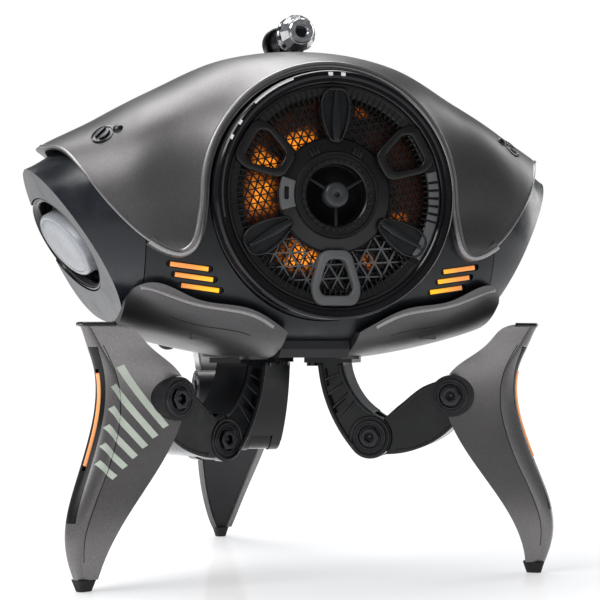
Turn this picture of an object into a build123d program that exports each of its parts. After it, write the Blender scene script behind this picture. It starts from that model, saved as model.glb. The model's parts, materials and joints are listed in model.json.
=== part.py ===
"""Desktop loudspeaker shaped like a three-legged robot.

The body is an egg-like housing with shoulder pods, a round grille at the front and a rotary
knob on top.  Three legs, 120 degrees apart, each have a fixed upper arm, a link and a claw.
Millimetres, +Z up, the front of the body faces -Y, and the soles stand on Z = 0.
"""
import os
from math import cos, pi, radians, sin

from build123d import *

os.makedirs("parts", exist_ok=True)

# ---------------------------------------------------------------- driving dimensions
tripod_y = -15.6          # vertical axis of the tripod
body_y = tripod_y - 17    # middle plane of the body, where its sections are tallest
belt_z = 127.0            # height at which the body is widest
ring_z = 132.7            # height of the round grille's axis
front_y = tripod_y - 70.4 # foremost plane of the bezel
knob_z = 195.4            # axis of the barrel on top

shell_step = 3.0          # how far the metal shell stands proud of the housing
wall = 2.4                # plastic wall
gap = 0.3                 # clearance between neighbouring casings
run_fit = 0.05            # radial clearance of a bolt in its bore

bezel_r = 42.2            # outside of the bezel barrel
bezel_bore = 37.8         # window of the bezel
lip_r = 45.4              # outside of the shell's arched lip
split_x = 62.5            # joint between the centre housing and the shoulder pods

knee = (35.5, 48.4)       # knee axis: distance from the tripod axis, height
ankle = (66.8, 63.9)      # ankle axis
arm_half = 7.8            # half width of the upper arm
tongue_half = 4.0         # half width of the link's tongue in the arm's fork
link_half = 8.8           # half width of the link
ear_half = 17.2           # outer faces of the claw's pivot ears
knee_r = 8.0
ankle_r = 7.0
bolt_r = 2.2
leg_azimuths = {"right": -30.0, "left": 210.0, "rear": 90.0}

# body stations: x, front and back half depth, height above and below the belt, squareness
stations = [
    (0.0, 47.0, 51.0, 57.0, 47.0, 2.9),
    (30.0, 46.5, 50.0, 53.5, 45.5, 2.8),
    (55.0, 43.0, 45.0, 42.0, 40.5, 2.6),
    (75.0, 33.5, 33.0, 31.0, 34.0, 2.4),
    (88.0, 22.0, 22.0, 22.5, 26.0, 2.3),
    (98.0, 11.0, 12.0, 16.5, 17.0, 2.2),
]
section_points = 24

# claw stations: height, inner and outer distance from the tripod axis, half widths there
claw_stations = [
    (1.2, 91.5, 97.0, 2.8, 1.6),
    (8.0, 91.4, 99.8, 5.9, 2.6),
    (18.5, 88.2, 101.4, 9.4, 4.0),
    (30.0, 81.6, 98.8, 12.6, 5.2),
    (42.0, 73.4, 94.0, 15.2, 5.8),
    (54.0, 66.8, 89.9, 16.9, 5.6),
    (63.0, 64.2, 88.2, 17.5, 5.2),
    (70.0, 65.2, 88.3, 17.5, 4.6),
    (76.0, 71.0, 89.8, 17.0, 3.8),
    (83.0, 80.2, 93.0, 15.2, 2.7),
    (89.2, 88.6, 96.4, 12.0, 1.8),
]


def save(piece, name):
    """Label a finished piece and write it to its own file."""
    piece.label = name
    export_step(piece, f"parts/{name}.step")


# ---------------------------------------------------------------- planes and shared shapes
def front_plane(y):
    """Sketch plane facing the front, with its origin on the grille's axis."""
    return Plane(origin=(0, y, ring_z), x_dir=(1, 0, 0), z_dir=(0, -1, 0))


def leg_plane(azimuth, side=0.0):
    """Upright plane of one leg: local x runs outwards from the tripod axis, local y is up."""
    a = radians(azimuth)
    plane = Plane(origin=(0, tripod_y, 0), x_dir=(cos(a), sin(a), 0), z_dir=(sin(a), -cos(a), 0))
    return plane.offset(side)


def level_plane(azimuth, height):
    """Horizontal plane whose local x runs outwards along one leg."""
    a = radians(azimuth)
    return Plane(origin=(0, tripod_y, height), x_dir=(cos(a), sin(a), 0), z_dir=(0, 0, 1))


def section_outline(station, grow):
    """Points of one rounded body section, a different half size in each quadrant."""
    _, front, back, above, below, power = station
    points = []
    for i in range(section_points):
        t = 2 * pi * (i + 0.5) / section_points
        across = abs(cos(t)) ** (2 / power) * (1 if cos(t) > 0 else -1)
        upward = abs(sin(t)) ** (2 / power) * (1 if sin(t) > 0 else -1)
        depth = (back if across > 0 else front) + grow
        height = (above if upward > 0 else below) + grow
        points.append((across * depth, upward * height))
    return points


def body_form(grow):
    """The body's outer form, grown by a distance, as one loft from shoulder to shoulder."""
    mirrored = [(-s[0], *s[1:]) for s in reversed(stations[1:])]
    with BuildPart() as form:
        for station in mirrored + stations:
            plane = Plane(origin=(station[0], body_y, belt_z), x_dir=(0, 1, 0), z_dir=(1, 0, 0))
            with BuildSketch(plane):
                with BuildLine():
                    Spline(*section_outline(station, grow), periodic=True)
                make_face()
        loft()
    return form.part


def claw_form(azimuth, inset=0.0, open_back=0.0):
    """A claw's outer form as a loft of level sections, wide inside and narrow at the spine."""
    with BuildPart() as form:
        for height, inner, outer, inner_half, outer_half in claw_stations:
            wide = inner_half - inset
            narrow = max(outer_half - inset, 0.5)
            back = inner - open_back
            shoulder = outer - inset - narrow
            back_half = wide + (wide - narrow) / (shoulder - inner) * open_back
            with BuildSketch(level_plane(azimuth, height)):
                with BuildLine():
                    Line((back, -back_half), (shoulder, -narrow))
                    ThreePointArc((shoulder, -narrow), (outer - inset, 0), (shoulder, narrow))
                    Line((shoulder, narrow), (back, back_half))
                    Line((back, back_half), (back, -back_half))
                make_face()
        loft()
    return form.part


housing_form = body_form(0)
cavity_form = body_form(-wall)
shell_form = body_form(shell_step)
shell_inside = body_form(gap)

pod_plane = Plane(origin=(81, tripod_y - 49.5, 120), x_dir=(-0.115, -0.993, 0),
                  z_dir=(0.865, -0.10, -0.49))
recess_centre = (-34.0, 3.0)
recess_radii = (26.0, 18.0)
plate_radii = (19.5, 11.5)
oval_tilt = 18.0


def oval(radii):
    """Tilted ellipse of the pod's face, in the open sketch."""
    with Locations(Location((*recess_centre, 0), (0, 0, oval_tilt))):
        Ellipse(*radii)


# ---------------------------------------------------------------- housing and pods
facing = Plane(origin=(0, 0, 0), x_dir=(1, 0, 0), z_dir=(0, -1, 0))
slit_rows = [(48.4, 108.4), (46.6, 104.9), (44.2, 101.3)]
slit_tilt = 8.0
rear_plane = Plane(origin=(0, tripod_y + 29.6, 101), x_dir=(1, 0, 0), z_dir=(0, 0.916, -0.402))
panel_size = (54.0, 17.0)
charge_x = -18.5            # places along the rear panel
aux_x = 21.2
button_r = 2.8


def slit_bars(side, length, height):
    """Three sloping slots on one side of the front, in the open sketch."""
    for x, z in slit_rows:
        with Locations((side * x, z)):
            SlotOverall(length, height, rotation=side * slit_tilt)


with BuildPart() as core_housing:
    add(housing_form)
    add(cavity_form, mode=Mode.SUBTRACT)
    split(bisect_by=Plane.YZ.offset(split_x), keep=Keep.BOTTOM)
    split(bisect_by=Plane.YZ.offset(-split_x), keep=Keep.TOP)
    with BuildSketch(front_plane(front_y - 5)):
        Circle(bezel_r + gap)
    extrude(amount=-45, mode=Mode.SUBTRACT)
    with BuildSketch(facing):
        slit_bars(1, 15.6, 2.3)
        slit_bars(-1, 15.6, 2.3)
    extrude(amount=-front_y, mode=Mode.SUBTRACT)
    with BuildSketch(facing.offset(-60)):
        with Locations((0, rear_plane.origin.Z)):
            RectangleRounded(panel_size[0] + 1, panel_size[1] + 1, 4)
    extrude(amount=62, mode=Mode.SUBTRACT)
    with BuildSketch(Plane.XY.offset(60)):
        with Locations((0, tripod_y)):
            Circle(16)
    extrude(amount=30, mode=Mode.SUBTRACT)
save(core_housing.part, "core_housing")

with BuildPart() as pod_cavity:
    add(cavity_form)
    split(bisect_by=pod_plane.offset(-3), keep=Keep.BOTTOM)

with BuildPart() as right_pod:
    add(housing_form)
    split(bisect_by=pod_plane, keep=Keep.BOTTOM)
    add(pod_cavity.part, mode=Mode.SUBTRACT)
    split(bisect_by=Plane.YZ.offset(split_x + gap), keep=Keep.TOP)
    with BuildSketch(pod_plane):
        oval(recess_radii)
    extrude(amount=-12, mode=Mode.SUBTRACT)
save(right_pod.part, "right_pod")

with BuildPart() as left_pod:
    mirror(right_pod.part, about=Plane.YZ)
save(left_pod.part, "left_pod")

# ---------------------------------------------------------------- passive radiators
frame_depth = 9.0
frame_wall = 1.6


def shrink(radii, amount):
    """Ellipse radii reduced all round."""
    return (radii[0] - amount, radii[1] - amount)


with BuildPart() as radiator_frames:
    with BuildSketch(pod_plane.offset(-0.6)):
        oval(shrink(recess_radii, 0.15))
        with Locations(Location((*recess_centre, 0), (0, 0, oval_tilt))):
            Ellipse(*shrink(recess_radii, frame_wall), mode=Mode.SUBTRACT)
    extrude(amount=-frame_depth)
    with BuildSketch(pod_plane.offset(-frame_depth)):
        oval(shrink(recess_radii, frame_wall))
        with Locations(Location((*recess_centre, 0), (0, 0, oval_tilt))):
            Ellipse(*shrink(recess_radii, 5.0), mode=Mode.SUBTRACT)
    extrude(amount=-0.6)
    mirror(about=Plane.YZ)
save(radiator_frames.part, "radiator_frames")

with BuildPart() as radiator_surrounds:
    with BuildSketch(pod_plane.offset(-7.6)):
        oval(shrink(recess_radii, frame_wall + 0.1))
        with Locations(Location((*recess_centre, 0), (0, 0, oval_tilt))):
            Ellipse(*shrink(plate_radii, -0.4), mode=Mode.SUBTRACT)
    extrude(amount=1.4)
    mirror(about=Plane.YZ)
save(radiator_surrounds.part, "radiator_surrounds")

with BuildPart() as right_radiator:
    with BuildSketch(pod_plane.offset(-6.5)):
        oval(plate_radii)
    extrude(amount=7.5)
    fillet(right_radiator.faces().sort_by(Axis(pod_plane.origin, pod_plane.z_dir))[-1].edges(), 2.0)
save(right_radiator.part, "right_radiator")

with BuildPart() as left_radiator:
    mirror(right_radiator.part, about=Plane.YZ)
save(left_radiator.part, "left_radiator")

# ---------------------------------------------------------------- metal shell and skirts
screw_spot = (76.0, tripod_y - 35.8, 154.9)
screw_plane = Plane(origin=screw_spot, x_dir=(0.9, 0, -0.436), z_dir=(0.30, -0.72, 0.62))
mirrored_spot = (-screw_spot[0], screw_spot[1], screw_spot[2])
mirrored_plane = Plane(origin=mirrored_spot, z_dir=(-0.30, -0.72, 0.62))
screw_head_r = 3.4

with BuildPart() as lip_band:
    with BuildSketch(front_plane(tripod_y - 64)):
        Circle(lip_r)
        with Locations((0, -8)):
            Rectangle(2 * lip_r + 1.5, 16)
        Circle(bezel_r + gap, mode=Mode.SUBTRACT)
        with Locations((0, -20)):
            Rectangle(2 * (bezel_r + 1.2), 40, mode=Mode.SUBTRACT)
        with Locations((0, -40)):
            Rectangle(120, 48, mode=Mode.SUBTRACT)
    extrude(amount=-22)
    add(shell_inside, mode=Mode.SUBTRACT)

with BuildPart() as top_shell:
    add(shell_form)
    add(shell_inside, mode=Mode.SUBTRACT)
    with BuildSketch(facing):
        with BuildLine():
            for side in (1, -1):
                Spline((side * 93, 150.5), (side * 87.5, 149.5), (side * 81.7, 140),
                       (side * 75, 130), (side * 66, 120), (side * 58, 114.4),
                       (side * 50.5, 112.6))
                Line((side * 93, 150.5), (side * 93, 200))
            Line((50.5, 112.6), (-50.5, 112.6))
            Line((93, 200), (-93, 200))
        make_face()
    extrude(amount=120, both=True, mode=Mode.INTERSECT)
    with BuildSketch(front_plane(front_y - 5)):
        Circle(bezel_r + gap)
        Polygon((-bezel_r - gap, 0), (bezel_r + gap, 0), (bezel_r + 1.8, -13), (51, -20.6),
                (51, -30), (-51, -30), (-51, -20.6), (-bezel_r - 1.8, -13), align=None)
    extrude(amount=-50, mode=Mode.SUBTRACT)
    add(lip_band.part)
    for plane in (screw_plane, mirrored_plane):
        with BuildSketch(plane.offset(-6)):
            Circle(screw_head_r + 0.3)
        extrude(amount=12, mode=Mode.SUBTRACT)
save(top_shell.part, "top_shell")

with BuildPart() as shoulder_screws:
    with BuildSketch(screw_plane.offset(-2.6)):
        Circle(screw_head_r)
    extrude(amount=3)
    with BuildSketch(screw_plane.offset(0.4)):
        Rectangle(2 * screw_head_r, 1.1)
    extrude(amount=-1.2, mode=Mode.SUBTRACT)
    add(shell_inside, mode=Mode.SUBTRACT)
    mirror(about=Plane.YZ)
save(shoulder_screws.part, "shoulder_screws")

with BuildPart() as right_skirt:
    add(shell_form)
    with Locations((41.2, tripod_y - 42, 86.5)):
        Box(6.6, 8, 5)
    with Locations((17.4, tripod_y - 26.5, 80.4)):
        Cylinder(5.2, 7)
    add(shell_inside, mode=Mode.SUBTRACT)
    with BuildSketch(facing):
        with BuildLine():
            Spline((13, 86.4), (18, 89.6), (28, 94.4), (46, 97.6), (62, 102.9), (66, 101.2))
            Polyline((66, 101.2), (68, 97), (68, 70), (13, 70), (13, 86.4))
        make_face()
    extrude(amount=120, mode=Mode.INTERSECT)
    with BuildSketch(Plane.XY.offset(60)):
        with Locations((0, tripod_y)):
            Circle(30)
    extrude(amount=40, mode=Mode.SUBTRACT)
    split(bisect_by=Plane.XZ.offset(12.5 - tripod_y), keep=Keep.TOP)
save(right_skirt.part, "right_skirt")

with BuildPart() as left_skirt:
    mirror(right_skirt.part, about=Plane.YZ)
save(left_skirt.part, "left_skirt")

# ---------------------------------------------------------------- base and underside
with BuildPart() as base_plate:
    with BuildSketch(Plane.XY.offset(77.6)):
        with Locations((0, tripod_y)):
            Circle(29.5)
        with Locations((0, tripod_y - 22)):
            Rectangle(25.2, 46)
    extrude(amount=14)
    chamfer(base_plate.edges().filter_by(Axis.X).group_by(Axis.Y)[0].sort_by(Axis.Z)[0], 3)
    add(shell_inside, mode=Mode.SUBTRACT)
    for azimuth in leg_azimuths.values():
        with BuildSketch(level_plane(azimuth, 70)):
            with Locations((13.4, 5), (13.4, -5)):
                Circle(1.3)
        extrude(amount=20, mode=Mode.SUBTRACT)
save(base_plate.part, "base_plate")

with BuildPart() as underside_bumpers:
    with Locations((44.7, tripod_y - 6.8, 84.4)):
        Sphere(4.2)
    add(shell_inside, mode=Mode.SUBTRACT)
    mirror(about=Plane.YZ)
save(underside_bumpers.part, "underside_bumpers")

# ---------------------------------------------------------------- front grille and driver
ring_axis = Axis((0, 0, ring_z), (0, 1, 0))
ring_section = Plane.XY.offset(ring_z)


def turned(points, name):
    """Solid of revolution about the grille's axis, from (radius, depth behind the front)."""
    with BuildPart() as turning:
        with BuildSketch(ring_section):
            Polygon(*[(radius, front_y + depth) for radius, depth in points], align=None)
        revolve(axis=ring_axis)
    save(turning.part, name)
    return turning.part


turned([(37.8, 1.6), (39.2, 0), (41.2, 0), (bezel_r, 1.6), (bezel_r, 26), (39.4, 26), (39.4, 4.6),
        (37.8, 4.6)], "bezel_ring")
turned([(33.6, 9.6), (38.9, 9.6), (38.9, 11.4), (33.6, 11.4)], "glow_ring")
turned([(0, 10.2), (0, 13), (10.3, 13), (10.3, 5.4), (9.3, 5.4), (9.3, 9.2), (2, 10.2)], "hub_bowl")
turned([(28.0, 13.2), (28.9, 13.2), (9.2, 28.2), (0, 24.6), (0, 23.6), (8.6, 26.6)], "driver_cone")
turned([(29.2, 12.6), (30.2, 11.7), (32.2, 11.7), (33.4, 12.6), (38.6, 12.6), (38.6, 13.6), (33.0, 13.6),
        (32.0, 12.7), (30.4, 12.7), (29.6, 13.4), (29.2, 13.4)], "driver_surround")
turned([(33.5, 13.7), (38.6, 13.7), (38.6, 15.8), (35.6, 15.8), (20.6, 34), (20.6, 40), (19.2, 40),
        (19.2, 33.4)], "driver_basket")
turned([(0, 31), (7.2, 31), (7.2, 46), (10.8, 46), (10.8, 31), (19.1, 31), (19.1, 50), (0, 50)],
       "driver_magnet")
turned([(8.5, 28.4), (9.5, 28.4), (9.5, 40), (8.5, 40)], "voice_coil")

mesh_pitch = 3.3
with BuildPart() as grille_mesh:
    with BuildSketch(front_plane(front_y + 6)):
        Circle(37.6)
        Circle(14.9, mode=Mode.SUBTRACT)
        for ring in range(2, 7):
            radius = 15.4 + mesh_pitch * ring
            with PolarLocations(radius, 18 + 5 * ring, start_angle=4 * ring):
                RegularPolygon(1.35, 3, mode=Mode.SUBTRACT)
    extrude(amount=-1.2)
save(grille_mesh.part, "grille_mesh")

with BuildPart() as fan_guard:
    with BuildSketch(front_plane(front_y + 2)):
        Circle(37.5)
        Circle(33.7, mode=Mode.SUBTRACT)
        for turn in (90, 210, 330):
            with Locations(Location((0, 0, 0), (0, 0, turn))):
                Polygon((17, -2.2), (25, -4.6), (31, -5.2), (36, -2.6), (36, 2.6), (31, 5.2),
                        (25, 4.6), (17, 2.2), align=None)
        for turn in (30, 150, 270):
            with Locations(Location((0, 0, 0), (0, 0, turn))):
                Polygon((17, -4.4), (31.5, -8.6), (36.5, -6), (36.5, 6), (31.5, 8.6), (17, 4.4),
                        align=None)
                Polygon((21.6, -3.1), (31, -6), (33.6, -4), (33.6, 4), (31, 6), (21.6, 3.1),
                        align=None, mode=Mode.SUBTRACT)
        Circle(19.7)
        Circle(10.6, mode=Mode.SUBTRACT)
        Circle(4.2)
        for turn in (30, 150, 270):
            with Locations(Location((0, 0, 0), (0, 0, turn))):
                with Locations((7.5, 0)):
                    Rectangle(7, 1.1)
    extrude(amount=-3.0)
save(fan_guard.part, "fan_guard")

with BuildPart() as hub_cap:
    with BuildSketch(front_plane(front_y + 2)):
        Circle(4.4)
    extrude(amount=1.2)
    fillet(hub_cap.faces().sort_by(Axis.Y)[0].edges(), 0.5)
    with BuildSketch(front_plane(front_y)):
        Circle(0.7)
    extrude(amount=-2.4, mode=Mode.SUBTRACT)
save(hub_cap.part, "hub_cap")

with BuildPart() as slit_lights:
    with BuildSketch(facing):
        slit_bars(1, 15.0, 1.7)
        slit_bars(-1, 15.0, 1.7)
    extrude(amount=-front_y)
    add(body_form(-0.2), mode=Mode.INTERSECT)
    add(cavity_form, mode=Mode.SUBTRACT)
save(slit_lights.part, "slit_lights")

# ---------------------------------------------------------------- barrel and volume knob
knob_axis = Axis((0, 0, knob_z), (0, 1, 0))
knob_section = Plane.XY.offset(knob_z)
knob_front = tripod_y - 28.0

with BuildPart() as barrel:
    with BuildSketch(knob_section):
        Polygon((0, knob_front + 4.6), (1.95, knob_front + 4.6), (1.95, knob_front + 12),
                (4.4, knob_front + 12), (4.4, knob_front + 28), (5.8, knob_front + 28),
                (6.2, knob_front + 29), (6.2, knob_front + 32), (5.6, knob_front + 33),
                (0, knob_front + 33), align=None)
    revolve(axis=knob_axis)
    with Locations((0, knob_front + 24, knob_z - 6)):
        Box(7, 14, 9)
    add(shell_form, mode=Mode.SUBTRACT)
save(barrel.part, "barrel")

with BuildPart() as volume_knob:
    with BuildSketch(knob_section):
        Polygon((2.0, knob_front), (4.6, knob_front), (6.9, knob_front + 5.6), (6.9, knob_front + 10.8),
                (6.2, knob_front + 11.6), (2.0, knob_front + 11.6), align=None)
    revolve(axis=knob_axis)
    with BuildSketch(Plane(origin=(0, knob_front, knob_z), x_dir=(1, 0, 0), z_dir=(0, -1, 0))):
        Circle(3.3)
    extrude(amount=-1.6, mode=Mode.SUBTRACT)
    with BuildSketch(Plane(origin=(0, knob_front + 3, knob_z), x_dir=(1, 0, 0), z_dir=(0, -1, 0))):
        with PolarLocations(7.4, 9, start_angle=90):
            Rectangle(1.8, 1.9)
    extrude(amount=-6, mode=Mode.SUBTRACT)
save(volume_knob.part, "volume_knob")

# ---------------------------------------------------------------- inside and rear
with BuildPart() as rear_panel:
    with BuildSketch(rear_plane):
        RectangleRounded(*panel_size, 3.6)
    extrude(amount=-2.4)
    with BuildSketch(rear_plane):
        with Locations((charge_x, 0)):
            SlotOverall(9.2, 3.4)
        with Locations((aux_x, 0)):
            Circle(2.6)
        with Locations((-5, 0), (7, 0)):
            Circle(button_r + gap)
    extrude(amount=-3, mode=Mode.SUBTRACT)
save(rear_panel.part, "rear_panel")

with BuildPart() as charge_socket:
    with BuildSketch(rear_plane.offset(-0.6)):
        with Locations((charge_x, 0)):
            SlotOverall(9.0, 3.2)
            SlotOverall(8.4, 2.6, mode=Mode.SUBTRACT)
    extrude(amount=-6.5)
    with BuildSketch(rear_plane.offset(-7.1)):
        with Locations((charge_x, 0)):
            Rectangle(9.4, 4)
    extrude(amount=-1.2)
    with BuildSketch(rear_plane.offset(-7.1)):
        with Locations((charge_x, 0)):
            Rectangle(6.6, 0.7)
    extrude(amount=5)
save(charge_socket.part, "charge_socket")

with BuildPart() as aux_socket:
    with BuildSketch(rear_plane.offset(-2.5)):
        with Locations((aux_x, 0)):
            Rectangle(6.4, 6.4)
            Circle(1.8, mode=Mode.SUBTRACT)
    extrude(amount=-12)
save(aux_socket.part, "aux_socket")

for x, name in ((-5, "power_button"), (7, "pairing_button")):
    with BuildPart() as button:
        with BuildSketch(rear_plane.offset(-3.6)):
            with Locations((x, 0)):
                Circle(button_r)
        extrude(amount=4.6)
        fillet(button.faces().sort_by(Axis.Y)[-1].edges(), 0.5)
    save(button.part, name)

with BuildPart() as battery_pack:
    with BuildSketch(Plane.YZ.offset(-33)):
        with Locations((tripod_y + 12, 122), (tripod_y + 12, 141)):
            Circle(9.2)
        with Locations((tripod_y + 12, 131.5)):
            Rectangle(7, 12)
    extrude(amount=66)
save(battery_pack.part, "battery_pack")

with BuildPart() as main_board:
    with Locations((0, tripod_y - 8, 134)):
        Box(62, 1.6, 46)
    with Locations((-18, tripod_y - 4.7, 148), (-8, tripod_y - 4.7, 148)):
        Cylinder(3.4, 5, rotation=(90, 0, 0))
    with Locations((14, tripod_y - 5.8, 144)):
        Box(16, 2.8, 12)
save(main_board.part, "main_board")

# ---------------------------------------------------------------- legs
flange_z = 77.4
fork_half = tongue_half + 0.3
pocket_half = link_half + 0.4
foot_rho = 94.3
foot_top = 4.0
spine_low, spine_high = 23.0, 81.5


def polar(centre, radius, degrees):
    """Point on a circle in a leg's own plane."""
    return (centre[0] + radius * cos(radians(degrees)), centre[1] + radius * sin(radians(degrees)))


def cross_rod(azimuth, centre, radius, half):
    """Round rod along a hinge axis of a leg, centred on the leg's middle plane."""
    with BuildPart() as rod:
        with BuildSketch(leg_plane(azimuth, -half)):
            with Locations(centre):
                Circle(radius)
        extrude(amount=2 * half)
    return rod.part


def slab(azimuth, half, low, high):
    """Upright slab about a leg's middle plane, between two heights."""
    with BuildPart() as block:
        with BuildSketch(leg_plane(azimuth, -half)):
            with Locations((80, (low + high) / 2)):
                Rectangle(80, high - low)
        extrude(amount=2 * half)
    return block.part


def upper_arm(azimuth, name):
    """Fixed upper arm: bolting flange, curved stem with lightening pockets, and a fork."""
    with BuildPart() as arm:
        with BuildSketch(leg_plane(azimuth, -arm_half)):
            with BuildLine():
                low = polar(knee, knee_r, 220)
                high = polar(knee, knee_r, 62)
                ThreePointArc((15.9, flange_z), (19.6, 59.5), low)
                ThreePointArc(low, polar(knee, knee_r, -40), high)
                ThreePointArc(high, (29.6, 64.6), (25.4, flange_z))
                Line((25.4, flange_z), (15.9, flange_z))
            make_face()
        extrude(amount=2 * arm_half)
        with BuildSketch(leg_plane(azimuth, -fork_half)):
            with Locations(knee):
                Circle(knee_r + 0.9)
            Polygon((knee[0], 39.5), (60, 39.5), (60, 62), (knee[0] + 1, 62), align=None)
        extrude(amount=2 * fork_half, mode=Mode.SUBTRACT)
        for side in (-1, 1):
            with BuildSketch(leg_plane(azimuth, side * arm_half)):
                Polygon((18.6, 73.5), (23, 73.5), (23.6, 69), (19.6, 66.5), align=None)
                Polygon((20.2, 63.5), (24.8, 65.5), (27.6, 60), (22.8, 56.6), align=None)
            extrude(amount=-side * 2.2, mode=Mode.SUBTRACT)
        with BuildSketch(level_plane(azimuth, flange_z)):
            with Locations((20.0, 0)):
                Rectangle(18, 16.4)
        extrude(amount=-2)
        with BuildSketch(level_plane(azimuth, 70)):
            with Locations((13.4, 5), (13.4, -5)):
                Circle(1.3)
        extrude(amount=10, mode=Mode.SUBTRACT)
        add(cross_rod(azimuth, knee, bolt_r + 0.02, 20), mode=Mode.SUBTRACT)
    save(arm.part, name)


def link(azimuth, name):
    """Link from the knee to the claw: a thin tongue, a thick body and a cross hub."""
    with BuildPart() as bar:
        with BuildSketch(leg_plane(azimuth, -tongue_half)):
            with Locations(knee):
                Circle(knee_r - 0.4)
            Polygon(polar(knee, 7.4, 58), (47, 58), (47, 43), polar(knee, 7.4, -50), align=None)
        extrude(amount=2 * tongue_half)
        with BuildSketch(leg_plane(azimuth, -link_half)):
            with BuildLine():
                Spline((41.6, 55.6), (48.2, 61.3), polar(ankle, ankle_r, 125))
                Line(polar(ankle, ankle_r, 125), polar(ankle, ankle_r, -55))
                ThreePointArc(polar(ankle, ankle_r, -55), (54.2, 44.6), (41.0, 42.2))
                Line((41.0, 42.2), (41.6, 55.6))
            make_face()
            with Locations(ankle):
                Circle(ankle_r)
            with Locations(knee):
                Circle(knee_r + 0.7, mode=Mode.SUBTRACT)
        extrude(amount=2 * link_half)
        add(cross_rod(azimuth, knee, bolt_r + run_fit, 20), mode=Mode.SUBTRACT)
        add(cross_rod(azimuth, ankle, bolt_r + run_fit, 20), mode=Mode.SUBTRACT)
    save(bar.part, name)


def claw(azimuth, leg):
    """Claw of one leg: metal shell, inner frame with pivot ears, spine, light and foot pad."""
    outer_form = claw_form(azimuth)
    inner_form = claw_form(azimuth, inset=2.0, open_back=6.0)

    with BuildPart() as shell:
        add(outer_form)
        add(inner_form, mode=Mode.SUBTRACT)
        add(slab(azimuth, 2.6, spine_low, spine_high), mode=Mode.SUBTRACT)
        add(slab(azimuth, 30, 0, foot_top), mode=Mode.SUBTRACT)
        add(cross_rod(azimuth, ankle, ankle_r + 0.5, 30), mode=Mode.SUBTRACT)
    save(shell.part, f"{leg}_claw_shell")

    with BuildPart() as frame:
        add(claw_form(azimuth, inset=2.25, open_back=-0.8))
        add(slab(azimuth, 30, 0, foot_top + 0.1), mode=Mode.SUBTRACT)
        add(cross_rod(azimuth, ankle, ankle_r + 0.4, ear_half))
        with BuildSketch(leg_plane(azimuth, -pocket_half)):
            with Locations(ankle):
                Circle(ankle_r + 0.8)
            Polygon((50, ankle[1] + 7.8), (ankle[0], ankle[1] + 7.8), (ankle[0] + 7.8, ankle[1]), (72, 46),
                    (50, 46), align=None)
        extrude(amount=2 * pocket_half, mode=Mode.SUBTRACT)
        add(cross_rod(azimuth, ankle, bolt_r + 0.02, 20), mode=Mode.SUBTRACT)
    save(frame.part, f"{leg}_claw_frame")

    with BuildPart() as spine:
        add(outer_form)
        add(inner_form, mode=Mode.SUBTRACT)
        add(slab(azimuth, 2.5, spine_low + 0.1, spine_high - 0.1), mode=Mode.INTERSECT)
        add(slab(azimuth, 0.9, 40, 74), mode=Mode.SUBTRACT)
    save(spine.part, f"{leg}_claw_spine")

    with BuildPart() as light:
        add(outer_form)
        add(inner_form, mode=Mode.SUBTRACT)
        add(slab(azimuth, 0.85, 40.1, 73.9), mode=Mode.INTERSECT)
    save(light.part, f"{leg}_light_strip")

    with BuildPart() as pad:
        for height, long_side, wide in ((0, 5.2, 4.0), (foot_top - 0.1, 7.6, 6.0)):
            with BuildSketch(level_plane(azimuth, height)):
                with Locations((foot_rho, 0)):
                    RectangleRounded(long_side, wide, 1.6)
        loft()
    save(pad.part, f"{leg}_foot_pad")

    with BuildPart() as bolt:
        add(cross_rod(azimuth, ankle, bolt_r, ear_half))
        for side in (-1, 1):
            with BuildSketch(leg_plane(azimuth, side * ear_half)):
                with Locations(ankle):
                    RegularPolygon(4.0, 6)
            extrude(amount=side * 1.4)
    save(bolt.part, f"{leg}_ankle_bolt")


for leg, azimuth in leg_azimuths.items():
    upper_arm(azimuth, f"{leg}_upper_arm")
    link(azimuth, f"{leg}_link")
    claw(azimuth, leg)

with BuildPart() as knee_bolts:
    for azimuth in leg_azimuths.values():
        add(cross_rod(azimuth, knee, bolt_r, arm_half))
        for side in (-1, 1):
            with BuildSketch(leg_plane(azimuth, side * arm_half)):
                with Locations(knee):
                    RegularPolygon(3.9, 6)
            extrude(amount=side * 1.4)
save(knee_bolts.part, "knee_bolts")

with BuildPart() as hip_screws:
    for azimuth in leg_azimuths.values():
        for height, radius, length in ((flange_z - 2, 1.2, 4.2), (flange_z - 2, 2.1, -1.2)):
            with BuildSketch(level_plane(azimuth, height)):
                with Locations((13.4, 5), (13.4, -5)):
                    Circle(radius)
            extrude(amount=length)
save(hip_screws.part, "hip_screws")
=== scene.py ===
"""Looks of the robot-shaped tripod speaker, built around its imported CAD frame."""
import json
import math

import bmesh
import bpy
from mathutils import Matrix, Vector
from mathutils.bvhtree import BVHTree


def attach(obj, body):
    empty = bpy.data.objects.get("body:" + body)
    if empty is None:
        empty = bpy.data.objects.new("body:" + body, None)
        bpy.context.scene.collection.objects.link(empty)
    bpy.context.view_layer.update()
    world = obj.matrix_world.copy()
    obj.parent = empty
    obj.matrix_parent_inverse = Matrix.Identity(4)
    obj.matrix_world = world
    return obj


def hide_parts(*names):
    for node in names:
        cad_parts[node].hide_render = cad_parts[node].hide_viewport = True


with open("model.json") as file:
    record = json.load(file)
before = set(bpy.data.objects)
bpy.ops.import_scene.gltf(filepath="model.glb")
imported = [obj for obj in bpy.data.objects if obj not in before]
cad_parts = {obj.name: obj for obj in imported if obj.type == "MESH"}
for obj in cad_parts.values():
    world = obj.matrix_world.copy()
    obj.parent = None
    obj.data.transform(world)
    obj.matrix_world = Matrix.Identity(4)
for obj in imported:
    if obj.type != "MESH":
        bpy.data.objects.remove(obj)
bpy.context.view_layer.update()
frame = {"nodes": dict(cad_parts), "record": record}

MM = 0.001
TRIPOD_Y = -15.6
RING_Z = 132.7
FRONT_Y = TRIPOD_Y - 70.4
KNOB_Z = 195.4
KNOB_FRONT = TRIPOD_Y - 28.0
KNEE = (35.5, 48.4)
ANKLE = (66.8, 63.9)
LEGS = {"right": -30.0, "left": 210.0, "rear": 90.0}
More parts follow.
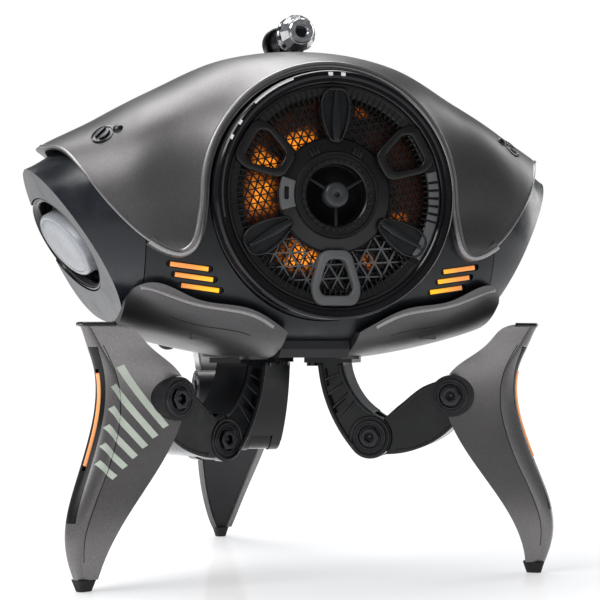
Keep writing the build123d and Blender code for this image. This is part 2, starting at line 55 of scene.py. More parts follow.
ARM_HALF = 7.8            # side faces of the upper arm
EAR_HALF = 17.2           # outer faces of the claw's pivot ears
PIN_R = 2.19              # shank of a hinge bolt
SLIT_ROWS = ((48.4, 108.4), (46.6, 104.9), (44.2, 101.3))
SLIT_TILT = 8.0
OVAL_CENTRE = (-34.0, 3.0)
OVAL_TILT = 18.0
SCREW_X = 75.0            # shoulder screws, sideways and round the shell's section
SCREW_TURN = 2.30
AUX_X = 21.2              # places along the rear panel
KEYS_X = (-5, 7)


# ---------------------------------------------------------------- frames
def local_frame(origin, x_dir, z_dir):
    """Matrix from a local frame in millimetres to the row frame in metres."""
    z = Vector(z_dir).normalized()
    x = Vector(x_dir)
    x = (x - z * x.dot(z)).normalized()
    y = z.cross(x)
    turn = Matrix((x, y, z)).transposed().to_4x4()
    return Matrix.Translation(Vector(origin) * MM) @ turn @ Matrix.Scale(MM, 4)


def front_frame(depth):
    """Faces the viewer, with its origin on the grille's axis, this far behind the front."""
    return local_frame((0, FRONT_Y + depth, RING_Z), (1, 0, 0), (0, -1, 0))


def leg_frame(leg, side=0.0):
    """A leg's own plane: x outwards from the tripod's axis, y up, z to the leg's side."""
    a = math.radians(LEGS[leg])
    out = Vector((math.cos(a), math.sin(a), 0))
    normal = Vector((math.sin(a), -math.cos(a), 0))
    origin = Vector((0, TRIPOD_Y, 0)) + normal * side
    return local_frame(origin, out, normal)


POD_NORMAL = (0.865, -0.10, -0.49)
pod_frames = {
    "right": local_frame((81, TRIPOD_Y - 49.5, 120), (-0.115, -0.993, 0), POD_NORMAL),
    "left": local_frame((-81, TRIPOD_Y - 49.5, 120), (0.115, -0.993, 0), (-0.865, -0.10, -0.49)),
}
rear_frame = local_frame((0, TRIPOD_Y + 29.6, 101), (1, 0, 0), (0, 0.916, -0.402))


# ---------------------------------------------------------------- materials
def node_material(name):
    """New node material: returns it with its tree and its Principled shader."""
    material = bpy.data.materials.new(name)
    material.use_nodes = True
    tree = material.node_tree
    shader = tree.nodes["Principled BSDF"]
    return material, tree, shader


def noise(tree, scale, detail=4.0, stretch=(1, 1, 1)):
    """Noise in object space."""
    coords = tree.nodes.new("ShaderNodeTexCoord")
    mapping = tree.nodes.new("ShaderNodeMapping")
    mapping.inputs["Scale"].default_value = stretch
    texture = tree.nodes.new("ShaderNodeTexNoise")
    texture.inputs["Scale"].default_value = scale
    texture.inputs["Detail"].default_value = detail
    tree.links.new(coords.outputs["Object"], mapping.inputs["Vector"])
    tree.links.new(mapping.outputs["Vector"], texture.inputs["Vector"])
    return texture.outputs["Fac"]


def spread(tree, value, low, high, from_low=0.3, from_high=0.7):
    """Maps a texture value to a range."""
    node = tree.nodes.new("ShaderNodeMapRange")
    node.inputs["From Min"].default_value = from_low
    node.inputs["From Max"].default_value = from_high
    node.inputs["To Min"].default_value = low
    node.inputs["To Max"].default_value = high
    tree.links.new(value, node.inputs["Value"])
    return node.outputs["Result"]


def two_tones(tree, value, dark, light):
    """Colour between two tones by a 0 to 1 value."""
    mix = tree.nodes.new("ShaderNodeMix")
    mix.data_type = "RGBA"
    mix.inputs["A"].default_value = (*dark, 1)
    mix.inputs["B"].default_value = (*light, 1)
    tree.links.new(value, mix.inputs["Factor"])
    return mix.outputs["Result"]


def bump(tree, shader, height, strength, distance):
    """Adds a bump to the shader."""
    node = tree.nodes.new("ShaderNodeBump")
    node.inputs["Strength"].default_value = strength
    node.inputs["Distance"].default_value = distance
    tree.links.new(height, node.inputs["Height"])
    tree.links.new(node.outputs["Normal"], shader.inputs["Normal"])


def gunmetal(name, dark, light, rough):
    """Metallic paint with a fine flake and a cloudy tone."""
    material, tree, shader = node_material(name)
    cloud = spread(tree, noise(tree, 14, 3), 0.0, 1.0)
    flake = noise(tree, 2600, 2)
    tone = two_tones(tree, cloud, dark, light)
    mix = tree.nodes.new("ShaderNodeMix")
    mix.data_type = "RGBA"
    mix.inputs["B"].default_value = (light[0] * 1.9, light[1] * 1.9, light[2] * 1.9, 1)
    tree.links.new(spread(tree, flake, 0.0, 0.35, 0.45, 0.75), mix.inputs["Factor"])
    tree.links.new(tone, mix.inputs["A"])
    tree.links.new(mix.outputs["Result"], shader.inputs["Base Color"])
    tree.links.new(spread(tree, noise(tree, 60, 5), rough - 0.05, rough + 0.06), shader.inputs["Roughness"])
    shader.inputs["Metallic"].default_value = 0.75
    shader.inputs["Coat Weight"].default_value = 0.12
    shader.inputs["Coat Roughness"].default_value = 0.3
    bump(tree, shader, flake, 0.12, 0.00004)
    return material


def moulding(name, colour, rough, grain=900.0, depth=0.00005, specular=0.3):
    """Moulded plastic with a fine grain and uneven gloss."""
    material, tree, shader = node_material(name)
    cloud = spread(tree, noise(tree, 35, 4), 0.0, 1.0)
    lighter = tuple(c * 1.4 + 0.001 for c in colour)
    tree.links.new(two_tones(tree, cloud, colour, lighter), shader.inputs["Base Color"])
    tree.links.new(spread(tree, noise(tree, 120, 6), rough - 0.07, rough + 0.08), shader.inputs["Roughness"])
    shader.inputs["Specular IOR Level"].default_value = specular
    bump(tree, shader, noise(tree, grain, 3), 0.2, depth)
    return material


def bare_metal(name, colour, rough, stretch=(1, 1, 1)):
    """Machined metal with fine directional scratches."""
    material, tree, shader = node_material(name)
    scratches = noise(tree, 500, 5, stretch)
    darker = tuple(c * 0.72 for c in colour)
    tone = two_tones(tree, spread(tree, scratches, 0.0, 1.0), darker, colour)
    tree.links.new(tone, shader.inputs["Base Color"])
    tree.links.new(spread(tree, scratches, rough - 0.06, rough + 0.1), shader.inputs["Roughness"])
    shader.inputs["Metallic"].default_value = 1.0
    bump(tree, shader, scratches, 0.05, 0.00001)
    return material


def glowing(name, cool, hot, strength, scale=40.0):
    """Amber light guide, unevenly lit."""
    material, tree, shader = node_material(name)
    cloud = spread(tree, noise(tree, scale, 2), 0.0, 1.0)
    tone = two_tones(tree, cloud, cool, hot)
    tree.links.new(tone, shader.inputs["Base Color"])
    tree.links.new(tone, shader.inputs["Emission Color"])
    shader.inputs["Emission Strength"].default_value = strength
    shader.inputs["Roughness"].default_value = 0.25
    return material


def calculate(tree, operation, a, b=None):
    """One maths node on sockets or numbers."""
    node = tree.nodes.new("ShaderNodeMath")
    node.operation = operation
    for socket, value in zip(node.inputs, (a, b)):
        if isinstance(value, (int, float)):
            socket.default_value = value
        elif value is not None:
            tree.links.new(value, socket)
    return node.outputs["Value"]


def ring_glow(name, lit):
    """Amber light behind the mesh in patches: lit holds (degrees, half width, radius, half width, power)."""
    material, tree, shader = node_material(name)
    coords = tree.nodes.new("ShaderNodeTexCoord")
    split = tree.nodes.new("ShaderNodeSeparateXYZ")
    tree.links.new(coords.outputs["Object"], split.inputs["Vector"])
    height = calculate(tree, "SUBTRACT", split.outputs["Z"], RING_Z * MM)
    angle = calculate(tree, "ARCTAN2", height, split.outputs["X"])
    squares = calculate(tree, "ADD", calculate(tree, "POWER", height, 2.0),
                        calculate(tree, "POWER", split.outputs["X"], 2.0))
    radius = calculate(tree, "SQRT", squares)
    total = 0.0
    for degrees, half, middle, reach, power in lit:
        off = calculate(tree, "SUBTRACT", angle, math.radians((degrees + 180) % 360 - 180))
        turn = calculate(tree, "ARCCOSINE", calculate(tree, "COSINE", off))
        side = spread(tree, turn, 1.0, 0.0, math.radians(half * 0.6), math.radians(half * 1.25))
        away = calculate(tree, "ABSOLUTE", calculate(tree, "SUBTRACT", radius, middle * MM))
        ring = spread(tree, away, 1.0, 0.0, reach * 0.5 * MM, reach * 1.3 * MM)
        patch = calculate(tree, "MULTIPLY", calculate(tree, "MULTIPLY", side, ring), power)
        total = calculate(tree, "ADD", total, patch)
    patches = spread(tree, noise(tree, 150, 3), 0.35, 1.25, 0.38, 0.6)
    level = calculate(tree, "MULTIPLY", total, patches)
    shader.inputs["Base Color"].default_value = (0.012, 0.008, 0.006, 1)
    tone = two_tones(tree, calculate(tree, "MINIMUM", level, 1.0), (0.35, 0.05, 0.0), (1.0, 0.30, 0.02))
    tree.links.new(tone, shader.inputs["Emission Color"])
    tree.links.new(level, shader.inputs["Emission Strength"])
    tree.links.new(spread(tree, noise(tree, 90, 3), 0.35, 0.5), shader.inputs["Roughness"])
    return material


def slit_glow(name):
    """Amber light guide, yellow towards the centre of the body and salmon outside."""
    material, tree, shader = node_material(name)
    coords = tree.nodes.new("ShaderNodeTexCoord")
    split = tree.nodes.new("ShaderNodeSeparateXYZ")
    tree.links.new(coords.outputs["Object"], split.inputs["Vector"])
    out = calculate(tree, "ABSOLUTE", split.outputs["X"])
    uneven = calculate(tree, "MULTIPLY", noise(tree, 160, 3), 0.006)
    place = spread(tree, calculate(tree, "ADD", out, uneven), 0.0, 1.0, 0.042, 0.052)
    tone = two_tones(tree, place, (1.0, 0.50, 0.02), (0.75, 0.27, 0.075))
    tree.links.new(tone, shader.inputs["Base Color"])
    tree.links.new(tone, shader.inputs["Emission Color"])
    shader.inputs["Emission Strength"].default_value = 0.72
    shader.inputs["Roughness"].default_value = 0.22
    return material


shell_paint = gunmetal("shell_paint", (0.066, 0.063, 0.065), (0.090, 0.086, 0.088), 0.40)
# Lighter copy of the shell's gunmetal: painted highlight, used on the arched lip, the shoulder rim rods and
# the skirts' top bands.
highlight_gunmetal = gunmetal("highlight_gunmetal", (0.185, 0.178, 0.18), (0.24, 0.232, 0.234), 0.34)
claw_paint = gunmetal("claw_paint", (0.135, 0.128, 0.129), (0.172, 0.164, 0.165), 0.38)
housing_black = moulding("housing_black", (0.006, 0.007, 0.009), 0.34)
pod_black = moulding("pod_black", (0.008, 0.0095, 0.013), 0.24, 500.0, 0.00001, 0.4)
gloss_black = moulding("gloss_black", (0.004, 0.004, 0.005), 0.14, 300.0, 0.00002)
guard_black = moulding("guard_black", (0.004, 0.004, 0.0045), 0.34)
guard_grey = moulding("guard_grey", (0.075, 0.077, 0.080), 0.42)
arm_black = moulding("arm_black", (0.005, 0.0055, 0.0065), 0.22, 900.0, 0.00002, 0.35)
cover_black = moulding("cover_black", (0.008, 0.008, 0.0095), 0.36, 1200.0, 0.00004)
rubber_black = moulding("rubber_black", (0.010, 0.010, 0.010), 0.72, 1500.0, 0.0001, 0.3)
mesh_black = moulding("mesh_black", (0.003, 0.003, 0.0035), 0.42)
bolt_black = bare_metal("bolt_black", (0.05, 0.05, 0.055), 0.30)
knob_chrome = bare_metal("knob_chrome", (0.72, 0.72, 0.74), 0.17)
barrel_dark = bare_metal("barrel_dark", (0.035, 0.035, 0.038), 0.28)
plate_silver = bare_metal("plate_silver", (0.50, 0.51, 0.54), 0.30)
socket_steel = bare_metal("socket_steel", (0.55, 0.55, 0.57), 0.30)
amber_glow = ring_glow("amber_glow", [(181, 16, 24.5, 4.8, 1.0), (243, 16, 23.6, 4.6, 1.15),
                                      (120, 15, 22.0, 3.0, 1.3), (153, 7, 25.0, 4.5, 1.0),
                                      (303, 5, 26.0, 2.5, 0.5), (345, 4, 26.0, 3.0, 0.35),
                                      (68, 4, 31.0, 1.5, 0.8), (120, 40, 30.0, 5.0, 0.06),
                                      (20, 40, 28.0, 6.0, 0.04)])
amber_slit = slit_glow("amber_slit")
amber_strip = glowing("amber_strip", (0.62, 0.22, 0.08), (0.85, 0.36, 0.14), 0.38, 25.0)
pale_stripe = moulding("pale_stripe", (0.42, 0.46, 0.40), 0.5)
pale_mark = moulding("pale_mark", (0.62, 0.63, 0.64), 0.4)
guard_satin = moulding("guard_satin", (0.008, 0.0085, 0.0095), 0.26)
silver_paint = moulding("silver_paint", (0.20, 0.21, 0.225), 0.30, 1800.0, 0.00001, 0.5)
guard_grey_dark = moulding("guard_grey_dark", (0.022, 0.023, 0.025), 0.35)

slot_materials = {
    "shell_metal": shell_paint, "housing_plastic": housing_black, "bezel_plastic": gloss_black,
    "guard_plastic": guard_black, "mesh_metal": mesh_black, "amber_lens": amber_slit,
    "knob_metal": knob_chrome, "barrel_metal": barrel_dark, "arm_metal": arm_black,
    "bolt_steel": bolt_black, "inner_plastic": cover_black, "black_rubber": rubber_black,
    "plate_metal": plate_silver, "cone_fibre": guard_black, "magnet_ferrite": barrel_dark,
    "coil_copper": socket_steel, "basket_steel": barrel_dark, "cell_pack": cover_black,
    "board": cover_black, "socket_steel": socket_steel, "button_plastic": guard_black,
}
special_nodes = {
    "left_pod": pod_black, "right_pod": pod_black, "radiator_frames": pod_black, "glow_ring": amber_glow,
    "left_claw_shell": claw_paint, "right_claw_shell": claw_paint, "rear_claw_shell": claw_paint,
    "left_light_strip": amber_strip, "right_light_strip": amber_strip, "rear_light_strip": amber_strip,
}
for entry in frame["record"]["subparts"]:
    node = frame["nodes"][entry["node"]]
    material = special_nodes.get(entry["node"], slot_materials[entry["material_slot"]])
    for place in node.material_slots:
        place.material = material

# ---------------------------------------------------------------- camera, light and floor
eye = Vector((-173.6, -627.4, 84.3)) * MM
target = Vector((7.556, -15.6, 98.803)) * MM
camera = bpy.data.objects.new("camera", bpy.data.cameras.new("camera"))
bpy.context.collection.objects.link(camera)
camera.location = eye
camera.rotation_euler = (target - eye).to_track_quat("-Z", "Y").to_euler()
camera.data.lens = 101.65
camera.data.sensor_width = 36.0
camera.data.clip_start = 0.01
bpy.context.scene.camera = camera


def softbox(name, location, aim, size, power):
    """Rectangular area light pointed at a place, all in metres and watts."""
    data = bpy.data.lights.new(name, "AREA")
    data.shape = "RECTANGLE"
    data.size, data.size_y = size
    data.energy = power
    light = bpy.data.objects.new(name, data)
    bpy.context.collection.objects.link(light)
    light.location = location
    light.rotation_euler = (Vector(aim) - Vector(location)).to_track_quat("-Z", "Y").to_euler()


softbox("key_left", (-0.85, -0.35, 0.85), (0, 0, 0.12), (0.8, 0.5), 10)
softbox("top_back", (-0.1, 0.35, 1.1), (0, 0, 0.1), (1.1, 0.6), 15)
softbox("rim_right", (0.9, 0.35, 0.4), (0, 0, 0.12), (0.3, 0.9), 3)

world = bpy.data.worlds.new("world")
world.use_nodes = True
sky = world.node_tree
backdrop = sky.nodes["Background"]
backdrop.inputs["Color"].default_value = (1, 1, 1, 1)
backdrop.inputs["Strength"].default_value = 1.0
ambient = sky.nodes.new("ShaderNodeBackground")
ambient.inputs["Color"].default_value = (0.94, 0.97, 1.0, 1)
ambient.inputs["Strength"].default_value = 0.21
rays = sky.nodes.new("ShaderNodeLightPath")
choice = sky.nodes.new("ShaderNodeMixShader")
sky.links.new(rays.outputs["Is Camera Ray"], choice.inputs["Fac"])
sky.links.new(ambient.outputs["Background"], choice.inputs[1])
sky.links.new(backdrop.outputs["Background"], choice.inputs[2])
sky.links.new(choice.outputs["Shader"], sky.nodes["World Output"].inputs["Surface"])
bpy.context.scene.world = world
bpy.context.scene.view_settings.view_transform = "Standard"


def floor_material():
    """Pale glossy table top, paler and brighter away from the object."""
    material, tree, shader = node_material("floor_white")
    cloud = spread(tree, noise(tree, 3, 3), 0.0, 1.0)
    coords = tree.nodes.new("ShaderNodeTexCoord")
    away = tree.nodes.new("ShaderNodeVectorMath")
    away.operation = "LENGTH"
    tree.links.new(coords.outputs["Object"], away.inputs[0])
    far = spread(tree, away.outputs["Value"], 0.0, 1.0, 0.20, 0.70)
    near_tone = two_tones(tree, cloud, (0.80, 0.80, 0.82), (0.86, 0.86, 0.875))
    mix = tree.nodes.new("ShaderNodeMix")
    mix.data_type = "RGBA"
    mix.inputs["B"].default_value = (0.05, 0.05, 0.05, 1)
    tree.links.new(far, mix.inputs["Factor"])
    tree.links.new(near_tone, mix.inputs["A"])
    tree.links.new(mix.outputs["Result"], shader.inputs["Base Color"])
    shader.inputs["Emission Color"].default_value = (1, 1, 1, 1)
    tree.links.new(spread(tree, far, 0.46, 1.0, 0.0, 1.0), shader.inputs["Emission Strength"])
    tree.links.new(spread(tree, noise(tree, 8, 4), 0.05, 0.08), shader.inputs["Roughness"])
    return material


floor_mesh = bpy.data.meshes.new("floor")
floor_mesh.from_pydata([(-4, -4, 0), (4, -4, 0), (4, 4, 0), (-4, 4, 0)], [], [(0, 1, 2, 3)])
floor = bpy.data.objects.new("floor", floor_mesh)
bpy.context.collection.objects.link(floor)
floor.location.z = -0.0002
floor.data.materials.append(floor_material())

# ---------------------------------------------------------------- mesh helpers
def piece(name, mesh, material, body, replaced=(), smooth=35.0):
    """Object from a mesh or several: shaded, given its material and tied to a body."""
    if isinstance(mesh, list):
        mesh = joined(name, mesh)
    bm = bmesh.new()
    bm.from_mesh(mesh)
    bmesh.ops.remove_doubles(bm, verts=bm.verts, dist=2e-6)
    bmesh.ops.recalc_face_normals(bm, faces=bm.faces)
    for edge in bm.edges:
        edge.smooth = len(edge.link_faces) == 2 and edge.calc_face_angle(0) < math.radians(smooth)
    for face in bm.faces:
        face.smooth = True
    bm.to_mesh(mesh)
    bm.free()
    obj = bpy.data.objects.new(name, mesh)
    bpy.context.collection.objects.link(obj)
    mesh.materials.clear()
    mesh.materials.append(material)
    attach(obj, body)
    if replaced:
        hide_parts(*replaced)
    return obj


def joined(name, meshes):
    """One mesh from several."""
    bm = bmesh.new()
    for mesh in meshes:
        bm.from_mesh(mesh)
        bpy.data.meshes.remove(mesh)
    result = bpy.data.meshes.new(name)
    bm.to_mesh(result)
    bm.free()
    return result


def mesh_of(points, faces, place):
    """Mesh from local points in millimetres."""
    mesh = bpy.data.meshes.new("part")
    mesh.from_pydata([place @ Vector(p) for p in points], [], faces)
    return mesh


def plate(rings, place, low, high, bevel=0.0):
    """Flat plate between two local heights from an outline and its holes, with rounded edges."""
    curve = bpy.data.curves.new("outline", "CURVE")
    curve.dimensions = "2D"
    curve.fill_mode = "BOTH"
    curve.extrude = (high - low) / 2 - bevel
    curve.bevel_depth = bevel
    curve.bevel_resolution = 2
    curve.offset = -bevel
    for ring in rings:
        spline = curve.splines.new("POLY")
        spline.points.add(len(ring) - 1)
        for point, (x, y) in zip(spline.points, ring):
            point.co = (x, y, 0, 1)
        spline.use_cyclic_u = True
    holder = bpy.data.objects.new("outline", curve)
    bpy.context.collection.objects.link(holder)
    bpy.context.view_layer.update()
    mesh = bpy.data.meshes.new_from_object(holder.evaluated_get(bpy.context.evaluated_depsgraph_get()))
    bpy.data.objects.remove(holder)
    bpy.data.curves.remove(curve)
    mesh.transform(place @ Matrix.Translation((0, 0, (low + high) / 2)))
    return mesh


def lathe(profile, place, steps=96, closed=True):
    """Surface turned about the local z axis from (radius, height) points."""
    points, faces = [], []
    count = len(profile)
    for i in range(steps):
        a = 2 * math.pi * i / steps
        points += [(r * math.cos(a), r * math.sin(a), h) for r, h in profile]
        j = (i + 1) % steps
        for k in range(count if closed else count - 1):
            m = (k + 1) % count
            faces.append((i * count + k, j * count + k, j * count + m, i * count + m))
    return mesh_of(points, faces, place)


def turned(profile, place, steps):
    """Turned body whose profile starts and ends on the axis."""
    return lathe(profile, place, steps, closed=False)


def arc(radius, start, end, steps=24):
    """Points along a circle, angles in degrees."""
    return [(radius * math.cos(math.radians(start + (end - start) * i / steps)),
             radius * math.sin(math.radians(start + (end - start) * i / steps)))
            for i in range(steps + 1)]


def sector(inner, outer, start, end, steps=24):
    """Outline of a piece of a ring."""
    return arc(outer, start, end, steps) + arc(inner, end, start, steps)


def rounded(corners, radius, steps=5):
    """Outline with its corners rounded, each by a quadratic turn."""
    outline = []
    count = len(corners)
    for i, corner in enumerate(corners):
        here = Vector(corner)
        before = (Vector(corners[i - 1]) - here)
        after = (Vector(corners[(i + 1) % count]) - here)
        size = min(radius, before.length * 0.45, after.length * 0.45)
        start = here + before.normalized() * size
        end = here + after.normalized() * size
        for k in range(steps + 1):
            t = k / steps
            outline.append(tuple(start * (1 - t) ** 2 + here * 2 * t * (1 - t) + end * t ** 2))
    return outline


def mirrored(half):
    """Outline from its lower half, mirrored above the local x axis."""
    return half + [(x, -y) for x, y in reversed(half)]


def bar(start, end, half):
    """Rectangle along the local x axis."""
    return mirrored([(start, -half), (end, -half)])


def turned_to(points, degrees):
    """Points turned about the local origin."""
    a = math.radians(degrees)
    return [(x * math.cos(a) - y * math.sin(a), x * math.sin(a) + y * math.cos(a)) for x, y in points]


# ---------------------------------------------------------------- front grille
front = front_frame(0)

bezel_profile = [
    (37.9, -4.4), (37.9, -1.9), (38.3, -1.5), (38.9, -1.5), (39.0, -0.9), (39.3, -0.3), (39.9, -0.05),
    (40.5, -0.05), (40.7, -0.45), (41.0, -0.45), (41.2, -0.15), (41.7, -0.5), (42.1, -1.2), (42.2, -2.4),
    (42.2, -6.0), (41.8, -6.3), (41.8, -7.2), (42.2, -7.5), (42.2, -25.8), (39.6, -25.8), (39.6, -4.6),
]
piece("bezel", lathe(bezel_profile, front, 160), gloss_black, "body", ["bezel_ring"])

ticks = [plate([turned_to(bar(40.1, 41.3, 0.75), at)], front, -1.0, 0.0)
         for at in (93.5, 87.2)]
ticks += [plate([turned_to(bar(40.3, 41.4, 0.8), at)], front, -1.0, -0.05)
          for at in (145.5, 153.5)]
piece("bezel_ticks", ticks, pale_mark, "body")
piece("bezel_arc_top", plate([sector(41.05, 41.6, 112, 134)], front, -0.9, -0.05, 0.08), pale_mark, "body")
side_arc = plate([sector(39.5, 40.1, 162, 192)], front, -0.9, 0.0, 0.08)
piece("bezel_arc_side", side_arc, guard_grey_dark, "body")

rim_profile = [(33.6, -5.2), (33.6, -3.6), (34.1, -3.1), (36.4, -2.9), (36.8, -2.4), (37.6, -2.4),
               (37.6, -5.2)]
rim = [lathe(rim_profile, front, 144)]
for i in range(108):
    rim.append(plate([turned_to(bar(31.8, 36.2, 0.22), i * 360 / 108)], front, -4.6, -2.75))
hub_profile = [
    (10.6, -6.4), (10.6, -1.6), (11.0, -1.2), (12.0, -1.2), (12.2, -1.6), (13.6, -1.6), (13.8, -0.9),
    (14.4, -0.9), (14.7, -1.4), (15.0, -2.0), (19.2, -3.1), (19.9, -4.0), (19.9, -6.2),
]
rim.append(lathe(hub_profile, front, 96))
teeth = 30
for i in range(teeth):
    rim.append(plate([turned_to(bar(11.2, 12.3, 0.55), i * 360 / teeth)], front, -1.6, -0.75, 0.12))
for at in (62, 118):
    for step in (-4.5, 0, 4.5):
        rim.append(plate([turned_to(bar(15.0, 17.6, 0.5), at + step)], front, -3.0, -1.5, 0.12))
for at in (30, 150, 270):
    rim.append(plate([turned_to(mirrored([(3.6, -0.55), (11.2, -0.4)]), at)], front, -4.4, -2.0, 0.15))
piece("guard_rings", rim, guard_black, "body", ["fan_guard"])

cap_profile = [(0.0, -1.6), (0.85, -1.6), (0.95, -0.5), (1.2, -0.35), (3.3, -0.4), (3.9, -0.7), (4.25, -1.3),
               (4.25, -5.0), (0.0, -5.0)]
piece("cap", turned(cap_profile, front, 48), guard_grey_dark, "body", ["hub_cap"])
bowl_profile = [(0.0, -10.4), (4.6, -10.2), (7.6, -9.0), (9.4, -7.0), (10.1, -5.2), (10.5, -5.2),
                (10.5, -12.8), (0.0, -12.8)]
piece("bowl", turned(bowl_profile, front, 64), guard_black, "body", ["hub_bowl"])

bracket_outline = sector(14.9, 19.7, 163, 196)
bracket_slot = rounded([(-18.3, -1.9), (-16.6, -1.9), (-16.6, 2.6), (-18.3, 2.6)], 0.8)
bracket = [plate([bracket_outline, bracket_slot], front, -3.4, -1.2, 0.25)]
for start, width in ((9.0, 5.0), (4.6, 2.9), (0.2, 2.9), (-4.2, 2.9), (-8.6, 2.9), (-13.0, 2.9)):
    bracket.append(plate([sector(33.6, 37.0, start, start + width, 6)], front, -3.4, -1.7, 0.25))
bracket.append(plate([sector(33.8, 37.0, -36, -14.2)], front, -3.4, -1.9, 0.25))
piece("grey_blocks", bracket, guard_grey, "body")

loop_outer = rounded(mirrored([(18.6, -5.0), (32.0, -8.9), (37.4, -7.0)]), 3.2, 6)
loop_inner = rounded(mirrored([(21.6, -3.1), (31.2, -6.3), (34.0, -4.8)]), 2.4, 6)
dark_loops = []
for at in (30, 150):
    dark_loops.append(plate([turned_to(loop_outer, at), turned_to(loop_inner, at)], front, -5.0, -1.4, 0.55))
piece("loops", dark_loops, guard_black, "body")
low_loop = plate([turned_to(loop_outer, 270), turned_to(loop_inner, 270)], front, -5.0, -1.0, 0.6)
piece("low_loop", low_loop, guard_grey, "body")


def leaf(inset):
    """Outline of one leaf-shaped blade, pointing outwards along the local x axis."""
    half = [(17.8 + inset, -1.9), (25, -4.9 + inset), (31.5, -5.6 + inset), (36.4 - inset, -3.2)]
    return rounded(mirrored(half), 2.6, 6)


ridge_line = rounded(mirrored([(18.4, -1.0), (24, -1.5), (35.0, -0.5)]), 1.2)
blades = []
for at in (90, 210, 330):
    blades.append(plate([turned_to(leaf(0), at), turned_to(leaf(0.95), at)], front, -4.6, -1.5, 0.3))
    blades.append(plate([turned_to(leaf(0.5), at)], front, -5.0, -2.9))
    blades.append(plate([turned_to(ridge_line, at)], front, -4.6, -0.9, 0.45))
piece("paddles", blades, guard_satin, "body")


def lattice(pitch, bar, keep, place, low, high):
    """Sheet of triangular windows: keep(x, y) says which cells are made."""
    points, faces = [], []
    rows = int(40 / (pitch * 0.866)) + 1
    for row in range(-rows, rows):
        for col in range(-int(44 / pitch) - rows, int(44 / pitch) + rows):
            base = Vector(((col + row / 2) * pitch, row * pitch * 0.866))
            right = base + Vector((pitch, 0))
            top = base + Vector((pitch / 2, pitch * 0.866))
            far = base + Vector((pitch * 1.5, pitch * 0.866))
            for cell in ((base, right, top), (right, far, top)):
                centre = sum(cell, Vector((0, 0))) / 3
                if not keep(centre.x, centre.y):
                    continue
                inset = 1 - bar / (pitch * 0.577)
                start = len(points)
                for corner in cell:
                    points.append((*corner, high))
                for corner in cell:
                    points.append((*(centre + (corner - centre) * inset), high))
                for a, b in ((0, 1), (1, 2), (2, 0)):
                    faces.append((start + a, start + b, start + 3 + b, start + 3 + a))
    mesh = mesh_of(points, faces, place)
    bm = bmesh.new()
    bm.from_mesh(mesh)
    bmesh.ops.remove_doubles(bm, verts=bm.verts, dist=5e-5)
    top_faces = list(bm.faces)
    grown = bmesh.ops.extrude_face_region(bm, geom=top_faces)
    moved = [v for v in grown["geom"] if isinstance(v, bmesh.types.BMVert)]
    offset = place.to_3x3() @ Vector((0, 0, low - high))
    bmesh.ops.translate(bm, verts=moved, vec=offset)
    bm.to_mesh(mesh)
    bm.free()
    return mesh


def annulus(inner, outer):
    """Test for a cell between two radii."""
    return lambda x, y: inner < math.hypot(x, y) < outer


def lower_sectors(x, y):
    """Test for a cell in the two windows beside the bottom loop, or inside it."""
    return 20.5 < math.hypot(x, y) < 33.5 and 218 < math.degrees(math.atan2(y, x)) % 360 < 318


fine = lattice(2.75, 0.42, annulus(18.9, 34.4), front @ Matrix.Rotation(0.2, 4, "Z"), -7.0, -6.2)
piece("fine_mesh", fine, mesh_black, "body", ["grille_mesh"])
coarse = lattice(5.4, 0.5, lower_sectors, front @ Matrix.Rotation(0.05, 4, "Z"), -5.6, -4.9)
piece("coarse_ribs", coarse, guard_grey, "body")
glow_profile = [(18.6, -9.8), (22.0, -9.3), (30.0, -9.3), (34.6, -9.9), (34.6, -11.2), (18.6, -11.2)]
piece("glow", lathe(glow_profile, front, 120), amber_glow, "body", ["glow_ring"])

# ---------------------------------------------------------------- metal shell
BODY_Y = TRIPOD_Y - 17
BELT_Z = 127.0
STATIONS = [
    (0.0, 47.0, 51.0, 57.0, 47.0, 2.9), (30.0, 46.5, 50.0, 53.5, 45.5, 2.8),
    (55.0, 43.0, 45.0, 42.0, 40.5, 2.6), (75.0, 33.5, 33.0, 31.0, 34.0, 2.4),
    (88.0, 22.0, 22.0, 22.5, 26.0, 2.3), (98.0, 11.0, 12.0, 16.5, 17.0, 2.2),
]
EDGE = [(50.5, 112.6), (58, 114.4), (66, 120), (75, 130), (81.7, 140), (87.5, 148.6), (93.6, 151.0)]
LIP_FRONT = 80.2


def smooth_curve(knots, x):
    """Value of a smooth curve through knots (x, values...) with level ends."""
    x = min(max(x, knots[0][0]), knots[-1][0])
    i = next(k for k in range(len(knots) - 1) if x <= knots[k + 1][0])
    a, b = knots[i], knots[i + 1]
    before, after = knots[max(i - 1, 0)], knots[min(i + 2, len(knots) - 1)]
    span = b[0] - a[0]
    t = (x - a[0]) / span
    values = []
    for k in range(1, len(a)):
        m0 = 0 if i == 0 else (b[k] - before[k]) / (b[0] - before[0])
        m1 = (after[k] - a[k]) / (after[0] - a[0])
        values.append((2 * t ** 3 - 3 * t ** 2 + 1) * a[k] + (t ** 3 - 2 * t ** 2 + t) * span * m0
                      + (3 * t ** 2 - 2 * t ** 3) * b[k] + (t ** 3 - t ** 2) * span * m1)
    return values


def ease(low, high, x):
    """0 below low, 1 above high, smooth between."""
    t = min(max((x - low) / (high - low), 0), 1)
    return t * t * (3 - 2 * t)


def front_of(x, z, grow):
    """How far forward the body stands at a place seen from the front."""
    front, _, above, below, power = smooth_curve(STATIONS, abs(x))
    height = (above if z > BELT_Z else below) + grow
    across = max(1 - min(abs(z - BELT_Z) / height, 1) ** power, 0) ** (1 / power)
    return -BODY_Y + across * (front + grow)


def valley(x, z):
    """How far the shell dips beside the arched lip."""
    return 2.2 * math.exp(-((abs(x) - 53) / 13) ** 2) * ease(114, 128, z)


